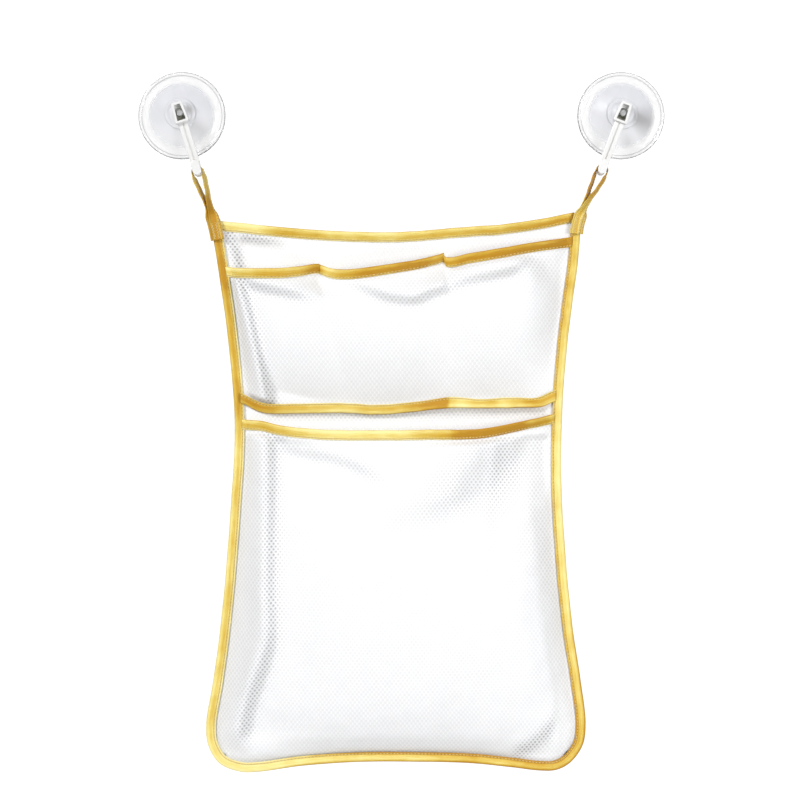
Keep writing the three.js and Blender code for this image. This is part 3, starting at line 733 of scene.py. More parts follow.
def piece(name, bm, finish, body="bag"):
    """A piece of its own, with smooth shading, that rides on a body."""
    for face in bm.faces:
        face.smooth = True
    mesh = bpy.data.meshes.new(name)
    bm.to_mesh(mesh)
    bm.free()
    mesh.materials.append(finish)
    made = bpy.data.objects.new(name, mesh)
    bpy.context.scene.collection.objects.link(made)
    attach(made, body)
    return made


def grid(columns, rows, place, tone, flat=None):
    """A sheet of cells. place(i, j) gives each corner, with j going down, tone(i, j) its tone, which is
    painted light and shade on tapes and loops and painted shade in the creases of nets, and flat(i, j)
    its place on the flat cloth."""
    bm = bmesh.new()
    bmesh.ops.create_grid(bm, x_segments=columns, y_segments=rows, size=0.5)
    flat_layer = bm.loops.layers.uv.new("Flat")
    tone_layer = bm.verts.layers.float.new("tone")
    at = {v: (round((v.co.x + 0.5) * columns), round((0.5 - v.co.y) * rows)) for v in bm.verts}
    for vert, (i, j) in at.items():
        vert.co = place(i, j)
        vert[tone_layer] = tone(i, j)
    if flat is None:
        corner = {where: vert.co.copy() for vert, where in at.items()}
        flat = cloth_places(corner, columns, rows)
    for face in bm.faces:
        for loop in face.loops:
            loop[flat_layer].uv = flat(*at[loop.vert])
    return bm


def cloth_places(corner, columns, rows):
    """Where each corner of a hung cloth lay when it was flat, from the lengths along the cloth, in
    which its creases count for little because the mesh gives there."""
    corner = {where: Vector((point.x, point.y * 0.3, point.z)) for where, point in corner.items()}
    middle = columns // 2
    across, down = {}, {}
    for j in range(rows + 1):
        across[middle, j] = corner[middle, j].x
        for i in range(middle, columns):
            across[i + 1, j] = across[i, j] + (corner[i + 1, j] - corner[i, j]).length
        for i in range(middle, 0, -1):
            across[i - 1, j] = across[i, j] - (corner[i - 1, j] - corner[i, j]).length
    for i in range(columns + 1):
        down[i, 0] = corner[i, 0].z
        for j in range(rows):
            down[i, j + 1] = down[i, j] - (corner[i, j + 1] - corner[i, j]).length
    return lambda i, j: (across[i, j], down[i, j])


# Nets


def back_depth(across, down):
    return BACK_FACE


def upper_depth(across, down):
    """The depth of the row of small pockets: three arches, whose seams fill out below the mouth."""
    seams = [mix(a, b, down) for a, b in zip(SEAMS_AT_MOUTH, SEAMS_AT_BASE)]
    pocket = min(bisect_right(seams, across) - 1, 2)
    within = clamp((across - seams[pocket]) / (seams[pocket + 1] - seams[pocket]))
    sag = math.sin(math.pi * down**UPPER_SAG_POWER) if 0 < down < 1 else 0
    fullness = UPPER_MOUTH_SHARE * (1 - down) + UPPER_SAG_SHARE * sag
    softness = mix(0.04, 0.12, down)
    arch = (math.sin(math.pi * within) ** 2 + softness**2) ** 0.4 - softness**0.8
    arch /= (1 + softness**2) ** 0.4 - softness**0.8
    if (pocket > 0 or within > 0.5) and (pocket < 2 or within < 0.5):
        arch = mix(arch, 1, SEAM_FILL * ease(down, 0.02, 0.2))
    lift = SEAM_LIFT * (1 - down) * min(1, across / SEAM_LIFT_FADE, (1 - across) / SEAM_LIFT_FADE)
    return POCKET_FACE + UPPER_BELLY * fullness * arch + lift


def lower_depth(across, down):
    """The depth of the large pocket: one belly, deepest a little below its middle."""
    sag = math.sin(math.pi * down**LOWER_SAG_POWER) ** 0.75 if 0 < down < 1 else 0
    fullness = LOWER_MOUTH_SHARE * (1 - down) + LOWER_SAG_SHARE * sag
    arch = 1 - abs(2 * across - 1) ** LOWER_ARCH_POWER
    return POCKET_FACE + LOWER_BELLY * fullness * arch


def crease(table, upright, width, drop, before, after, fades, shade_strength, rise=CREASE_RISE):
    """A crease along a line through the bag: the cloth stands out before it, falls across its width
    and comes back, and its mesh gets painted shade there. An upright crease falls to the right,
    another one downwards. It fades over a share of its length at each end."""
    places = [on_bag(place) for place in table]
    if upright:
        places = [Vector((-place.z, 0, place.x)) for place in places]
    line = smooth_height(places)
    first, last = places[0].x, places[-1].x

    def depth_and_shade(x, z):
        x, z = (-z, x) if upright else (x, z)
        share = (x - first) / (last - first)
        if not 0 < share < 1:
            return 0, 0
        lean = (line(x + LINE_STEP) - line(x - LINE_STEP)) / (2 * LINE_STEP)
        past = (z - line(x)) / math.hypot(1, lean)
        past = past if upright else -past
        beyond = max(abs(past) - width / 2, 0)
        if past < 0:
            shape = rise * math.exp(-((beyond / before) ** 2))
        else:
            shape = (rise - 1) * math.exp(-((beyond / after) ** 2))
        if beyond == 0:
            shape = rise - ease(past, -width / 2, width / 2)
        fade = ease(share, 0, fades[0]) * ease(share, 1, 1 - fades[1])
        return drop * shape * fade, shade_strength * math.exp(-((past / (width * 0.62)) ** 2)) * fade

    return depth_and_shade


# Each crease: its line, whether it is upright, its width, its drop, how far its shape reaches before
# and after it, its fades at both ends, how much painted shade its mesh gets, and its rise
MAIN_CREASE = (
    (-0.888, 0.0207), (-0.836, 0.0767), (-0.82, 0.111), (-0.773, 0.1634), (-0.731, 0.2266),
    (-0.678, 0.3079), (-0.657, 0.3476), (-0.657, 0.3982), (-0.657, 0.6636), (-0.657, 0.7593),
    (-0.762, 0.8677), (-0.799, 0.9309), (-0.773, 0.9706),
)
BACK_CREASES = (
    crease(MAIN_CREASE[:3], True, 0.0085, 0.004, 0.006, 0.02, (0.02, 0.1), 1.0, rise=0.08),
    crease(((-0.84, 0.029), (-0.70, 0.036), (-0.54, 0.043)),
           False, 0.0065, 0.003, 0.004, 0.02, (0.1, 0.6), 0.85, rise=0.08),
    crease(MAIN_CREASE[2:6], True, 0.0080, 0.005, 0.006, 0.01, (0.1, 0.1), 0.0, rise=0.08),
    crease(MAIN_CREASE[7:12], True, 0.0128, 0.006, 0.006, 0.01, (0.05, 0.05), 0.3),
    crease(((-0.70, 0.3525), (-0.2, 0.3535), (0.1, 0.351), (0.8, 0.3485)),
           False, 0.0062, 0.001, 0.004, 0.004, (0.05, 0.02), 0.42, rise=0.08),
)
UPPER_CREASES = (
    crease(MAIN_CREASE, True, 0.0092, 0.0125, 0.010, 0.03, (0.01, 0.01), 0.9),
    crease(((-0.85, 0.110), (-0.71, 0.1237), (-0.615, 0.1309), (-0.51, 0.1381), (-0.38, 0.1417)),
           False, 0.0115, 0.0085, 0.012, 0.045, (0.25, 0.35), 0.58),
    crease(((-0.36, 0.113), (-0.24, 0.121), (-0.133, 0.1327), (-0.039, 0.1435), (0.092, 0.1471),
            (0.171, 0.1345), (0.276, 0.1219), (0.381, 0.111), (0.486, 0.1038), (0.617, 0.093),
            (0.72, 0.076)),
           False, 0.0115, 0.0085, 0.014, 0.045, (0.3, 0.15), 0.46),
    crease(((0.66, 0.05), (0.736, 0.1002), (0.80, 0.147)),
           True, 0.024, 0.006, 0.05, 0.02, (0.3, 0.7), 0.4),
)
LOWER_CREASES = (
    crease(MAIN_CREASE, True, 0.0150, 0.0130, 0.012, 0.045, (0.01, 0.06), 0.84, rise=0.5),
    crease(((-0.678, 0.4054), (-0.51, 0.4198), (-0.327, 0.4325), (-0.17, 0.4523), (0.003, 0.4848)),
           False, 0.012, 0.0045, 0.02, 0.05, (0.2, 0.3), 0.35),
    crease(((0.569, 0.3873), (0.459, 0.4379), (0.339, 0.4921), (0.213, 0.5643)),
           True, 0.044, 0.0140, 0.03, 0.03, (0.06, 0.4), 0.5),
    crease(((0.44, 0.50), (0.56, 0.455), (0.70, 0.43)),
           False, 0.034, 0.003, 0.03, 0.03, (0.3, 0.4), 0.4),
    crease(((0.748, 0.3909), (0.727, 0.5065), (0.779, 0.6149), (0.842, 0.7593)),
           True, 0.018, 0.002, 0.02, 0.012, (0.02, 0.4), 0.2, rise=0.9),
    crease(((0.57, 0.968), (0.66, 0.957), (0.721, 0.9435), (0.85, 0.903)),
           False, 0.014, 0.002, 0.01, 0.01, (0.3, 0.2), 0.9),
)


def folds(creases, x, z, across, down, roughness):
    """The creases of one net and its small unevenness, held flat along its seams."""
    held = ease(across, 0, 0.02) * ease(across, 1, 0.98) * ease(down, 0, 0.02) * ease(down, 1, 0.97)
    soft = noise.noise(Vector((x, roughness, z * 0.6)) / WRINKLE_SIZE)
    soft += noise.noise(Vector((x, 1, z)) / FINE_WRINKLE_SIZE) * 0.35
    return held * (sum(at(x, z)[0] for at in creases) + soft * roughness)


def crease_shade(creases, x, z):
    """The painted shade that the creases put on the mesh, up to 1."""
    return min(sum(at(x, z)[1] for at in creases), 1)


def rim_point(share, depth):
    """A point of a net's rim, inside the edge binding."""
    return edge_at(share, NET_INSET, depth)


def full_net(name, node, fold, tilt, cells, depth_at, creases, roughness, rim_depth):
    """A net from a line across the bag down to the bottom. Its outer cells lie in the bindings."""
    columns, rows = cells
    top = raised(fold, -FLAT_INSET)
    edge_line = raised(fold, -NET_INSET)
    start, end = meets(top, -1, FLAT_INSET), meets(top, 1, FLAT_INSET)
    top_left, top_right = edge_at(start, FLAT_INSET), edge_at(end, FLAT_INSET)
    low_left, low_right = edge_at(LEFT_CORNER, FLAT_INSET), edge_at(RIGHT_CORNER, FLAT_INSET)
    nip = 0.004  # share of the bound edge from a corner of the rim to its neighbours
    side_points = {}

    def sides(down):
        if down not in side_points:
            left, right = mix(start, LEFT_CORNER, down), mix(end, RIGHT_CORNER, down)
            side_points[down] = (left, right, edge_at(left, FLAT_INSET), edge_at(right, FLAT_INSET))
        return side_points[down]

    def shares(i, j):
        return clamp((i - 1) / (columns - 2)), clamp((j - 1) / (rows - 2))

    def patch(across, down):
        _, _, left, right = sides(down)
        x = mix(top_left.x, top_right.x, across)
        low = edge_at(mix(LEFT_CORNER, RIGHT_CORNER, across), FLAT_INSET)
        corners = top_left.lerp(top_right, across).lerp(low_left.lerp(low_right, across), down)
        point = Vector((x, 0, top(x))) * (1 - down) + low * down + left.lerp(right, across) - corners
        point.y = -depth_at(across, down) - folds(creases, point.x, point.z, across, down, roughness)
        return point

    def place(i, j):
        across, down = shares(i, j)
        left, right, _, _ = sides(down)
        if j == 0:
            if i in (0, columns):
                return rim_point(meets(edge_line, -1 if i == 0 else 1, NET_INSET), rim_depth)
            point = patch(across, 0)
            return Vector((point.x, point.y - stands_out(tilt, point.x, NET_INSET), edge_line(point.x)))
        if j == rows:
            if i in (0, columns):
                return rim_point(LEFT_CORNER if i == 0 else RIGHT_CORNER, rim_depth)
            share = mix(LEFT_CORNER, RIGHT_CORNER, across) + {1: nip, columns - 1: -nip}.get(i, 0)
            return rim_point(share, rim_depth)
        if i in (0, columns):
            away = nip if j == rows - 1 else 0
            return rim_point(left - away if i == 0 else right + away, rim_depth)
        return patch(across, down)

    def tone(i, j):
        point = patch(*shares(i, j))
        return crease_shade(creases, point.x, point.z)

    made = piece(name, grid(columns, rows, place, tone), NET_FINISH)
    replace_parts(made, node)
    return made


def upper_net():
    """The row of small pockets, between its mouth and its base."""
    columns, rows = UPPER_CELLS
    top, base = raised(upper_mouth_fold, -FLAT_INSET), raised(upper_base_fold, FLAT_INSET)
    mouth_edge, base_edge = raised(upper_mouth_fold, -NET_INSET), raised(upper_base_fold, NET_INSET)
    ends = {}

    def row_ends(j):
        if j not in ends:
            down = clamp((j - 1) / (rows - 2))
            line = base_edge if j == rows else line_between(top, base, down)
            shares = [meets(line, side, FLAT_INSET) for side in (-1, 1)]
            ends[j] = (down, line, shares, [edge_at(share, FLAT_INSET).x for share in shares])
        return ends[j]

    def place(i, j):
        down, line, shares, (left, right) = row_ends(j)
        if i in (0, columns):
            share = shares[0 if i == 0 else 1]
            if j == 0:
                share = meets(mouth_edge, -1 if i == 0 else 1, NET_INSET)
            return rim_point(share, POCKET_RIM)
        across = (i - 1) / (columns - 2)
        x = mix(left, right, across)
        z = mouth_edge(x) if j == 0 else line(x)
        depth = upper_depth(across, down) + folds(UPPER_CREASES, x, z, across, down, UPPER_ROUGHNESS)
        depth = max(depth, POCKET_FACE)
        if j == 0:
            depth += stands_out(upper_mouth_tilt, x, NET_INSET)
        if j == rows:
            depth += stands_out(upper_base_tilt, x, NET_INSET)
        return Vector((x, -depth, z))

    def tone(i, j):
        point = place(i, j)
        return crease_shade(UPPER_CREASES, point.x, point.z)

    made = piece("upper_pocket_mesh", grid(columns, rows, place, tone), NET_FINISH)
    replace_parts(made, "upper_pocket_net")
    return made


back_mesh = full_net(
    "back_mesh", "back_net", top_fold, top_tilt, BACK_CELLS, back_depth, BACK_CREASES,
    roughness=BACK_ROUGHNESS, rim_depth=BACK_RIM,
)
lower_mesh = full_net(
    "lower_pocket_mesh", "lower_pocket_net", lower_mouth_fold, lower_mouth_tilt, LOWER_CELLS,
    lower_depth, LOWER_CREASES, roughness=LOWER_ROUGHNESS, rim_depth=POCKET_RIM,
)
upper_mesh = upper_net()


# Folded tapes

# The folded tape in section, from the free edge in front over the fold to the free edge behind:
# shares of the width from the fold, and of the half thickness.
HALF_SECTION = (
    (1.0, 0.78), (0.965, 0.82), (0.92, 0.80), (0.88, 0.72), (0.83, 0.68), (0.78, 0.74), (0.73, 0.84),
    (0.64, 0.96), (0.5, 1.01), (0.36, 1.03), (0.22, 1.01), (0.12, 0.88), (0.045, 0.63), (0.01, 0.32),
    (0.0, 0.0),
)
TAPE_SECTION = [*HALF_SECTION, *[(x, -y) for x, y in reversed(HALF_SECTION[:-1])]]


def front_of(bm):
    """The way the foremost face of a tape looks."""
    return max(bm.faces, key=lambda face: -face.calc_center_median().y).normal


def tape(name, node, count, section_at, half, length, tone_at):
    """A folded tape: section_at(station, x, y) places a point of its section at a station."""
    across = [0]
    for (x, y), (next_x, next_y) in zip(TAPE_SECTION, TAPE_SECTION[1:]):
        across.append(across[-1] + math.hypot((next_x - x) * TAPE_WIDTH, (next_y - y) * half))

    def place(i, j):
        x, y = TAPE_SECTION[j]
        return section_at(i / count, x, y)

    def flat(i, j):
        return length * i / count, across[j] - across[-1] / 2

    def tone(i, j):
        return tone_at(i / count, TAPE_SECTION[j][0])

    bm = grid(count, len(TAPE_SECTION) - 1, place, tone, flat)
    bm.normal_update()
    if front_of(bm).y > 0:
        bmesh.ops.reverse_faces(bm, faces=bm.faces)
    made = piece(name, bm, TAPE_FINISH)
    shell = made.modifiers.new("ply", "SOLIDIFY")
    shell.thickness = TAPE_PLY
    shell.offset = -1
    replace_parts(made, node)


def stitches(name, places):
    """Short raised threads: each place is a point, the way along the seam and the way out."""
    bead_bm = bmesh.new()
    bmesh.ops.create_uvsphere(bead_bm, u_segments=6, v_segments=4, radius=1)
    bead = bpy.data.meshes.new(name + "_bead")
    bead_bm.to_mesh(bead)
    bead_bm.free()
    bm = bmesh.new()
    for point, along, out in places:
        side = along.cross(out).normalized()
        axes = (side * THREAD_RADIUS, out * THREAD_RADIUS, along * STITCH_LENGTH / 2)
        place = Matrix.Translation(point) @ Matrix(axes).transposed().to_4x4()
        bead.transform(place)
        bm.from_mesh(bead)
        bead.transform(place.inverted())
    bmesh.ops.recalc_face_normals(bm, faces=bm.faces)
    piece(name, bm, THREAD_FINISH)


def seams_on(section_at, length):
    """Stitches along a tape, in front and behind, sunk in the dip of its section."""
    count = round(length / STITCH_PITCH)
    places = []
    for facing in (1, -1):
        height = facing * SEAM_HEIGHT
        for k in range(count):
            station = (k + 0.5) / count
            here = section_at(station, SEAM_SHARE, height)
            ahead = section_at(min(station + 0.002, 1), SEAM_SHARE, height)
            behind = section_at(max(station - 0.002, 0), SEAM_SHARE, height)
            across = section_at(station, SEAM_SHARE + 0.1, height) - here
            along = (ahead - behind).normalized()
            out = along.cross(across).normalized()
            if out.y * facing > 0:
                out = -out
            places.append((here, along, out))
    return places


def edge_section(station, x, y):
    """The binding round the sides and the bottom, rolling a little on its way."""
    point = edge_at(station, x * TAPE_WIDTH)
    sway = noise.noise(Vector((station * 38, 0, 7))) * TAPE_SWAY
    roll = noise.noise(Vector((station * 17, 3, 1))) * 0.077
    depth = (EDGE_FRONT + EDGE_BACK) / 2 + y * EDGE_HALF + (x - 0.5) * TAPE_WIDTH * roll
    return Vector((point.x + sway, -depth, point.z + sway))


tape("edge_tape", "edge_binding", EDGE_STATIONS, edge_section, EDGE_HALF, edge.length, edge_tone)
stitches("edge_stitches", seams_on(edge_section, edge.length))


def cross_section(fold, depth_at, tilt, up_way, seed, lumps):
    """A tape across the bag between its two butted ends, over a net whose depth is given for x."""
    ends = {}

    def end_at(x, side):
        if (x, side) not in ends:
            line = raised(fold, up_way * x * TAPE_WIDTH)
            ends[x, side] = edge_at(meets(line, side, BUTT_INSET), BUTT_INSET).x
        return ends[x, side]

    def section_at(station, x, y):
        here = mix(end_at(x, -1), end_at(x, 1), station)
        rise = depth_at(here + TAPE_SLOPE_STEP) - depth_at(here - TAPE_SLOPE_STEP)
        lean = Vector((-rise / (2 * TAPE_SLOPE_STEP), 1)).normalized()
        held = min(1, station / BUTT_HOLD, (1 - station) / BUTT_HOLD)
        turn = math.radians(tilt(here)) * held
        out = (1 - x) * TAPE_WIDTH * math.sin(turn) + y * CROSS_HALF * math.cos(turn)
        fall = (x + (1 - x) * (1 - math.cos(turn))) * TAPE_WIDTH + y * CROSS_HALF * math.sin(turn)
        ripple = noise.noise(Vector((station * 21, seed, 5))) * TAPE_RIPPLE * held
        if lumps:
            ripple += x * lumps(here)
        depth = depth_at(here) - NET_THICKNESS / 2 + lean.y * out
        return Vector((here + lean.x * out * held, -depth, fold(here) + up_way * fall + ripple))

    return section_at


def top_tape_depth(x):
    return BACK_FACE


def base_tape_depth(x):
    """The tape at the foot of the small pockets lies in front of the back net, also where it leans
    back."""
    lean = max(-upper_base_tilt(x), 0)
    return POCKET_FACE + BASE_LIFT + TAPE_WIDTH * math.sin(math.radians(lean))


def mouth_depth(depth_at, fold):
    """The depth of a mouth tape for each x, which lies in front of the back net also at its ends."""
    top = raised(fold, -FLAT_INSET)
    left, right = [edge_at(meets(top, side, FLAT_INSET), FLAT_INSET).x for side in (-1, 1)]
    return lambda x: max(depth_at(clamp((x - left) / (right - left)), 0), POCKET_FACE + MOUTH_LIFT)


def crossing_tape(name, fold, depth_at, tilt, tone, up_way, seed, lumps=None):
    """A tape across the bag with its stitches. It lies above its fold where up_way is 1 and below its
    fold where up_way is -1."""
    section_at = cross_section(fold, depth_at, tilt, up_way, seed, lumps)

    def tone_at(station, x):
        return tone(section_at(station, 0.5, 0).x)

    tape(
        name + "_tape", name + "_binding", CROSS_STATIONS, section_at, CROSS_HALF, CROSS_LENGTH, tone_at
    )
    stitches(name + "_stitches", seams_on(section_at, CROSS_LENGTH))


crossing_tape("top", top_fold, top_tape_depth, top_tilt, top_tone, -1, seed=11)
crossing_tape(
    "upper_mouth", upper_mouth_fold, mouth_depth(upper_depth, upper_mouth_fold), upper_mouth_tilt,
    upper_mouth_tone, -1, seed=12,
)
crossing_tape(
    "upper_base", upper_base_fold, base_tape_depth, upper_base_tilt, upper_base_tone, 1, seed=13,
    lumps=base_lumps,
)
crossing_tape(
    "lower_mouth", lower_mouth_fold, mouth_depth(lower_depth, lower_mouth_fold), lower_mouth_tilt,
    lower_mouth_tone, -1, seed=14,
)


# Hanging loops

# The loop below its bar: distance down, twist in degrees, and half the space between its strands
LOOP_COURSE = (
    (-0.006, 0, 0.0048), (0.001, 2, 0.0048), (0.006, 20, 0.0046), (0.016, 20, 0.0034),
    (0.027, 25, 0.0015), (0.033, 32, 0.0008), (0.046, 90, 0.00065), (0.08, 90, 0.00065),
)


def course(distance):
    """The twist of a loop and half the space between its strands, at a distance below the bar."""
    for (a, twist_a, half_a), (b, twist_b, half_b) in zip(LOOP_COURSE, LOOP_COURSE[1:]):
        if distance <= b:
            share = ease(distance, a, b)
            return math.radians(mix(twist_a, twist_b, share)), mix(half_a, half_b, share)
    return math.pi / 2, LOOP_COURSE[-1][2]


def squared(value):
    """A sine or cosine drawn out, which makes a round section a flat band with soft edges."""
    return math.copysign(abs(value) ** 0.35, value)


LOOP_SECTION = [
    (squared(math.cos(angle)) * LOOP_THICKNESS / 2, squared(math.sin(angle)) * LOOP_WIDTH / 2)
    for angle in [2 * math.pi * (k + 0.5) / LOOP_SIDES for k in range(LOOP_SIDES)]
]


def bent_line(a, b, c, d):
    """A line that leaves a towards b and comes to d from c."""
    steps = 80
    points = []
    for k in range(steps + 1):
        t = k / steps
        points.append(
            a * (1 - t) ** 3 + b * 3 * t * (1 - t) ** 2 + c * 3 * t * t * (1 - t) + d * t**3
        )
    return SmoothLine(points, steps=2)


def loop_seam(put, along, places):
    """Stitches on both faces of a loop's tape, near one of its edges."""
    seam = []
    for k in range(4, len(places) - 4, 4):
        (u, s), (next_u, next_s) = places[k], places[k + 1]
        on = along(k)
        for lift in (LOOP_THICKNESS / 2, -LOOP_THICKNESS / 2):
            here = put(u + on.y * lift, LOOP_SEAM, s - on.x * lift)
            ahead = put(next_u + on.y * lift, LOOP_SEAM, next_s - on.x * lift)
            outer = put(u + on.y * lift * 2, LOOP_SEAM, s - on.x * lift * 2)
            seam.append((here, (ahead - here).normalized(), (outer - here).normalized()))
    return seam


def bar_tack(middle):
    """The zigzag of thread that holds a loop's base on the corner of the bag."""
    front = -(LOOP_DEPTH + LOOP_COURSE[-1][2] + LOOP_THICKNESS / 2 + THREAD_PROUD)
    tack = []
    for row in range(TACK_ROWS):
        s = middle.length - TACK_MARGIN - (LOOP_SEWN - 2 * TACK_MARGIN) * row / TACK_ROWS
        centre, down = middle.at(s / middle.length), middle.along(s / middle.length)
        sideways = Vector((-down.z, 0, down.x))
        for column in (-1, 1):
            slant = sideways * column * (1 if row % 2 else -1) + down * 0.5
            here = centre + sideways * column * LOOP_WIDTH * 0.2
            tack.append((Vector((here.x, front, here.z)), slant.normalized(), Vector((0, -1, 0))))
    return tack


def hanging_loop(name, node, side, lean, drop, slack):
    """A length of tape over a hook's bar, whose two strands twist and are sewn to a corner."""
    way = Vector((-side * math.sin(lean), 0, -math.cos(lean)))
    bar = Vector((side * CUP_SPACING / 2, 0, 0)) + way * HOOK_REACH
    hang = math.sqrt((LOOP_RADIUS - BAR_RADIUS - GAP) ** 2 - slack**2)
    start = bar + Vector((slack, 0, -hang))

    def on_edge(level):
        share = meets(lambda x: level, side, TAPE_WIDTH / 2)
        return edge_at(share, TAPE_WIDTH / 2 - LOOP_OUTSET)

    end, above = on_edge(bar.z - drop - LOOP_SEWN), on_edge(bar.z - drop)
    reach = (end - start).length / 3
    middle = bent_line(start, start + way * reach, end + (above - end).normalized() * reach, end)
    crest = LOOP_RADIUS + LOOP_THICKNESS / 2

    # Places along the tape, up one strand, over the bar and down the other: across the eye, and down
    levels = [middle.length * (1 - k / STRAND_STATIONS) for k in range(STRAND_STATIONS)]
    strand = [(course(s)[1], s) for s in levels]
    turns = [math.pi * k / CROWN_STATIONS for k in range(CROWN_STATIONS + 1)]
    crown = [(crest * math.cos(turn), -crest * math.sin(turn)) for turn in turns]
    places = [*strand, *crown, *[(-u, s) for u, s in reversed(strand)]]

    def put(u, v, s):
        """The point at u across the eye, v across the tape and s down from the bar."""
        sewn = ease(s, SEWN_START, SEWN_FULL)
        v -= side * math.copysign(LOOP_PARTING, u) * sewn
        u += math.copysign(LOOP_RIDGE, u) * math.cos(3.4 * math.pi * v / LOOP_WIDTH) * sewn
        share = s / middle.length
        centre = start + way * s if s < 0 else middle.at(share)
        down = way if s < 0 else middle.along(share)
        turn = course(s)[0]
        across = u * math.cos(turn) + v * math.sin(turn)
        back = v * math.cos(turn) - u * math.sin(turn)
        return Vector((centre.x - down.z * across, back - LOOP_DEPTH, centre.z + down.x * across))

    def along(k):
        before, after = places[max(k - 1, 0)], places[min(k + 1, len(places) - 1)]
        return Vector((after[0] - before[0], after[1] - before[1])).normalized()

    def place(i, j):
        u, s = places[i]
        on = along(i)
        x, v = LOOP_SECTION[j % LOOP_SIDES]
        return put(u + on.y * x, v, s - on.x * x)

    travelled = [0]
    for (u, s), (next_u, next_s) in zip(places, places[1:]):
        travelled.append(travelled[-1] + math.hypot(next_u - u, next_s - s))

    def flat(i, j):
        return travelled[i], LOOP_SECTION[j % LOOP_SIDES][1]

    # Painted light and shade on the loops: the right loop deeper near the bar and paler lower down, the
    # left loop paler near the bar and deepest down the middle of its sewn base
    def tone(i, j):
        s, v = places[i][1], LOOP_SECTION[j % LOOP_SIDES][1]
        if side > 0:
            return mix(0.75, 0.42, ease(s, 0.02, 0.04))
        middle_of_base = math.exp(-((v / (0.25 * LOOP_WIDTH)) ** 2))
        return mix(0.3, 0.75 + 0.35 * middle_of_base, ease(s, 0.01, 0.036))

    bm = grid(len(places) - 1, LOOP_SIDES, place, tone, flat)
    bmesh.ops.remove_doubles(bm, verts=bm.verts, dist=1e-6)
    bmesh.ops.holes_fill(bm, edges=[e for e in bm.edges if e.is_boundary], sides=0)
    bmesh.ops.recalc_face_normals(bm, faces=bm.faces)
    made = piece(name, bm, LOOP_FINISH)
    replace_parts(made, node)
    stitches(name + "_stitches", loop_seam(put, along, places) + bar_tack(middle))


hanging_loop("left_loop", "left_hanging_loop", -1, LEFT_LEAN, drop=0.042, slack=0.0)
hanging_loop("right_loop", "right_hanging_loop", 1, RIGHT_LEAN, drop=0.0378, slack=0.00045)


# Suction cups and hooks

# Half section of the cup: radius and distance off the wall
CUP_PROFILE = (
    (0.0, 0.0030), (0.0060, 0.0030), (0.0120, 0.0028), (0.0180, 0.0022), (0.0240, 0.0016),
    (0.0290, 0.0008), (0.0331, 0.0), (0.0383, 0.0), (0.0383, 0.0010), (0.0380, 0.0016),
    (0.0374, 0.0019), (0.0362, 0.0020), (0.0356, 0.0019), (0.0352, 0.0015), (0.0330, 0.0018),
    (0.0300, 0.0026), (0.0289, 0.0033), (0.0265, 0.0052), (0.0240, 0.0068), (0.0210, 0.0087),
    (0.0180, 0.0102), (0.0160, 0.0114), (0.0145, 0.0120), (0.0137, 0.0126), (0.0135, 0.0134),
    (0.0135, 0.0152), (0.0133, 0.0158), (0.0127, 0.0162), (0.0105, 0.0162), (0.0100, 0.0158),
    (0.0095, 0.0158), (0.0090, 0.0162), (0.0024, 0.0162), (0.0024, 0.0191), (0.0032, 0.0191),
    (0.0037, 0.0193), (0.0039, 0.0198), (0.0039, 0.0213), (0.0037, 0.0217), (0.0031, 0.0220),
    (0.0, 0.0220),
)


def suction_cup(name, node, side):
    """A cup turned from its half section, with its stem and knob."""
    bm = bmesh.new()
    verts = [bm.verts.new((radius, -depth, 0)) for radius, depth in CUP_PROFILE]
    edges = [bm.edges.new(pair) for pair in zip(verts, verts[1:])]
    bmesh.ops.spin(
        bm, geom=[*verts, *edges], cent=(0, 0, 0), axis=(0, 1, 0), angle=2 * math.pi, steps=96,
        use_merge=True,
    )
    bmesh.ops.remove_doubles(bm, verts=bm.verts, dist=1e-6)
    bmesh.ops.recalc_face_normals(bm, faces=bm.faces)
    bmesh.ops.translate(bm, verts=bm.verts, vec=(side * CUP_SPACING / 2, 0, 0))
    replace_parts(piece(name, bm, CUP_FINISH, "cups"), node)


suction_cup("left_cup", "left_suction_cup", -1)
suction_cup("right_cup", "right_suction_cup", 1)

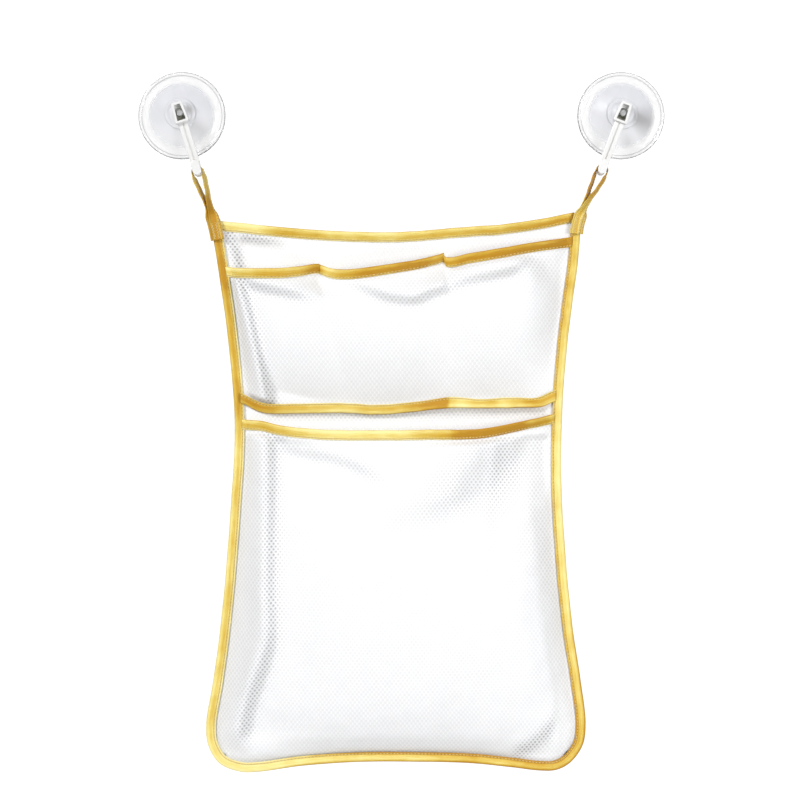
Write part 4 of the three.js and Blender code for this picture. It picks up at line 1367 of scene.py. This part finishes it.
for node in ("left_hook", "right_hook"):
    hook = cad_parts[node]
    hook.data.materials.clear()
    hook.data.materials.append(HOOK_FINISH)


# Studio

floor_bm = bmesh.new()
bmesh.ops.create_grid(floor_bm, x_segments=2, y_segments=2, size=FLOOR_HALF_WIDTH)
bmesh.ops.translate(floor_bm, verts=floor_bm.verts, vec=(0, 0, FLOOR_LEVEL))
floor_mesh = bpy.data.meshes.new("floor")
floor_bm.to_mesh(floor_mesh)
floor_bm.free()
floor_mesh.materials.append(material("floor", Base_Color=(0.8, 0.8, 0.8), Roughness=0.7).owner)
floor = bpy.data.objects.new("floor", floor_mesh)
bpy.context.scene.collection.objects.link(floor)


def softbox(name, place, size, power):
    """A square light that faces the middle of the bag."""
    light = bpy.data.lights.new(name, "AREA")
    light.size = size
    light.energy = power
    box = bpy.data.objects.new(name, light)
    box.location = place
    box.rotation_euler = (Vector(LIT_PLACE) - Vector(place)).to_track_quat("-Z", "Y").to_euler()
    bpy.context.scene.collection.objects.link(box)


softbox("key", KEY_PLACE, KEY_SIZE, KEY_POWER)
softbox("fill", FILL_PLACE, FILL_SIZE, FILL_POWER)

# The room: white behind the bag, and a dim light from all other sides, a little stronger from above
world = bpy.context.scene.world or bpy.data.worlds.new("studio")
bpy.context.scene.world = world
sky = Finish(world)
way = sky.split(sky.node("ShaderNodeTexCoord", {}, {}))
behind = ((way[1] - 0.6) * 5).limited()
overhead = ((way[2] + 0.3) * 0.9).limited()
background = sky.tree.nodes["Background"]
sky.feed(background.inputs["Color"], (1, 1, 1))
sky.feed(background.inputs["Strength"], behind * 1.12 + (1 - behind) * (overhead * 0.15 + 0.25))

camera = bpy.data.cameras.new("camera")
camera.lens = CAMERA_LENS
camera.sensor_width = CAMERA_SENSOR
viewer = bpy.data.objects.new("camera", camera)
viewer.location = CAMERA_PLACE
viewer.rotation_euler = Euler((math.pi / 2, 0, 0))
bpy.context.scene.collection.objects.link(viewer)
bpy.context.scene.camera = viewer
bpy.context.scene.view_settings.view_transform = "Standard"
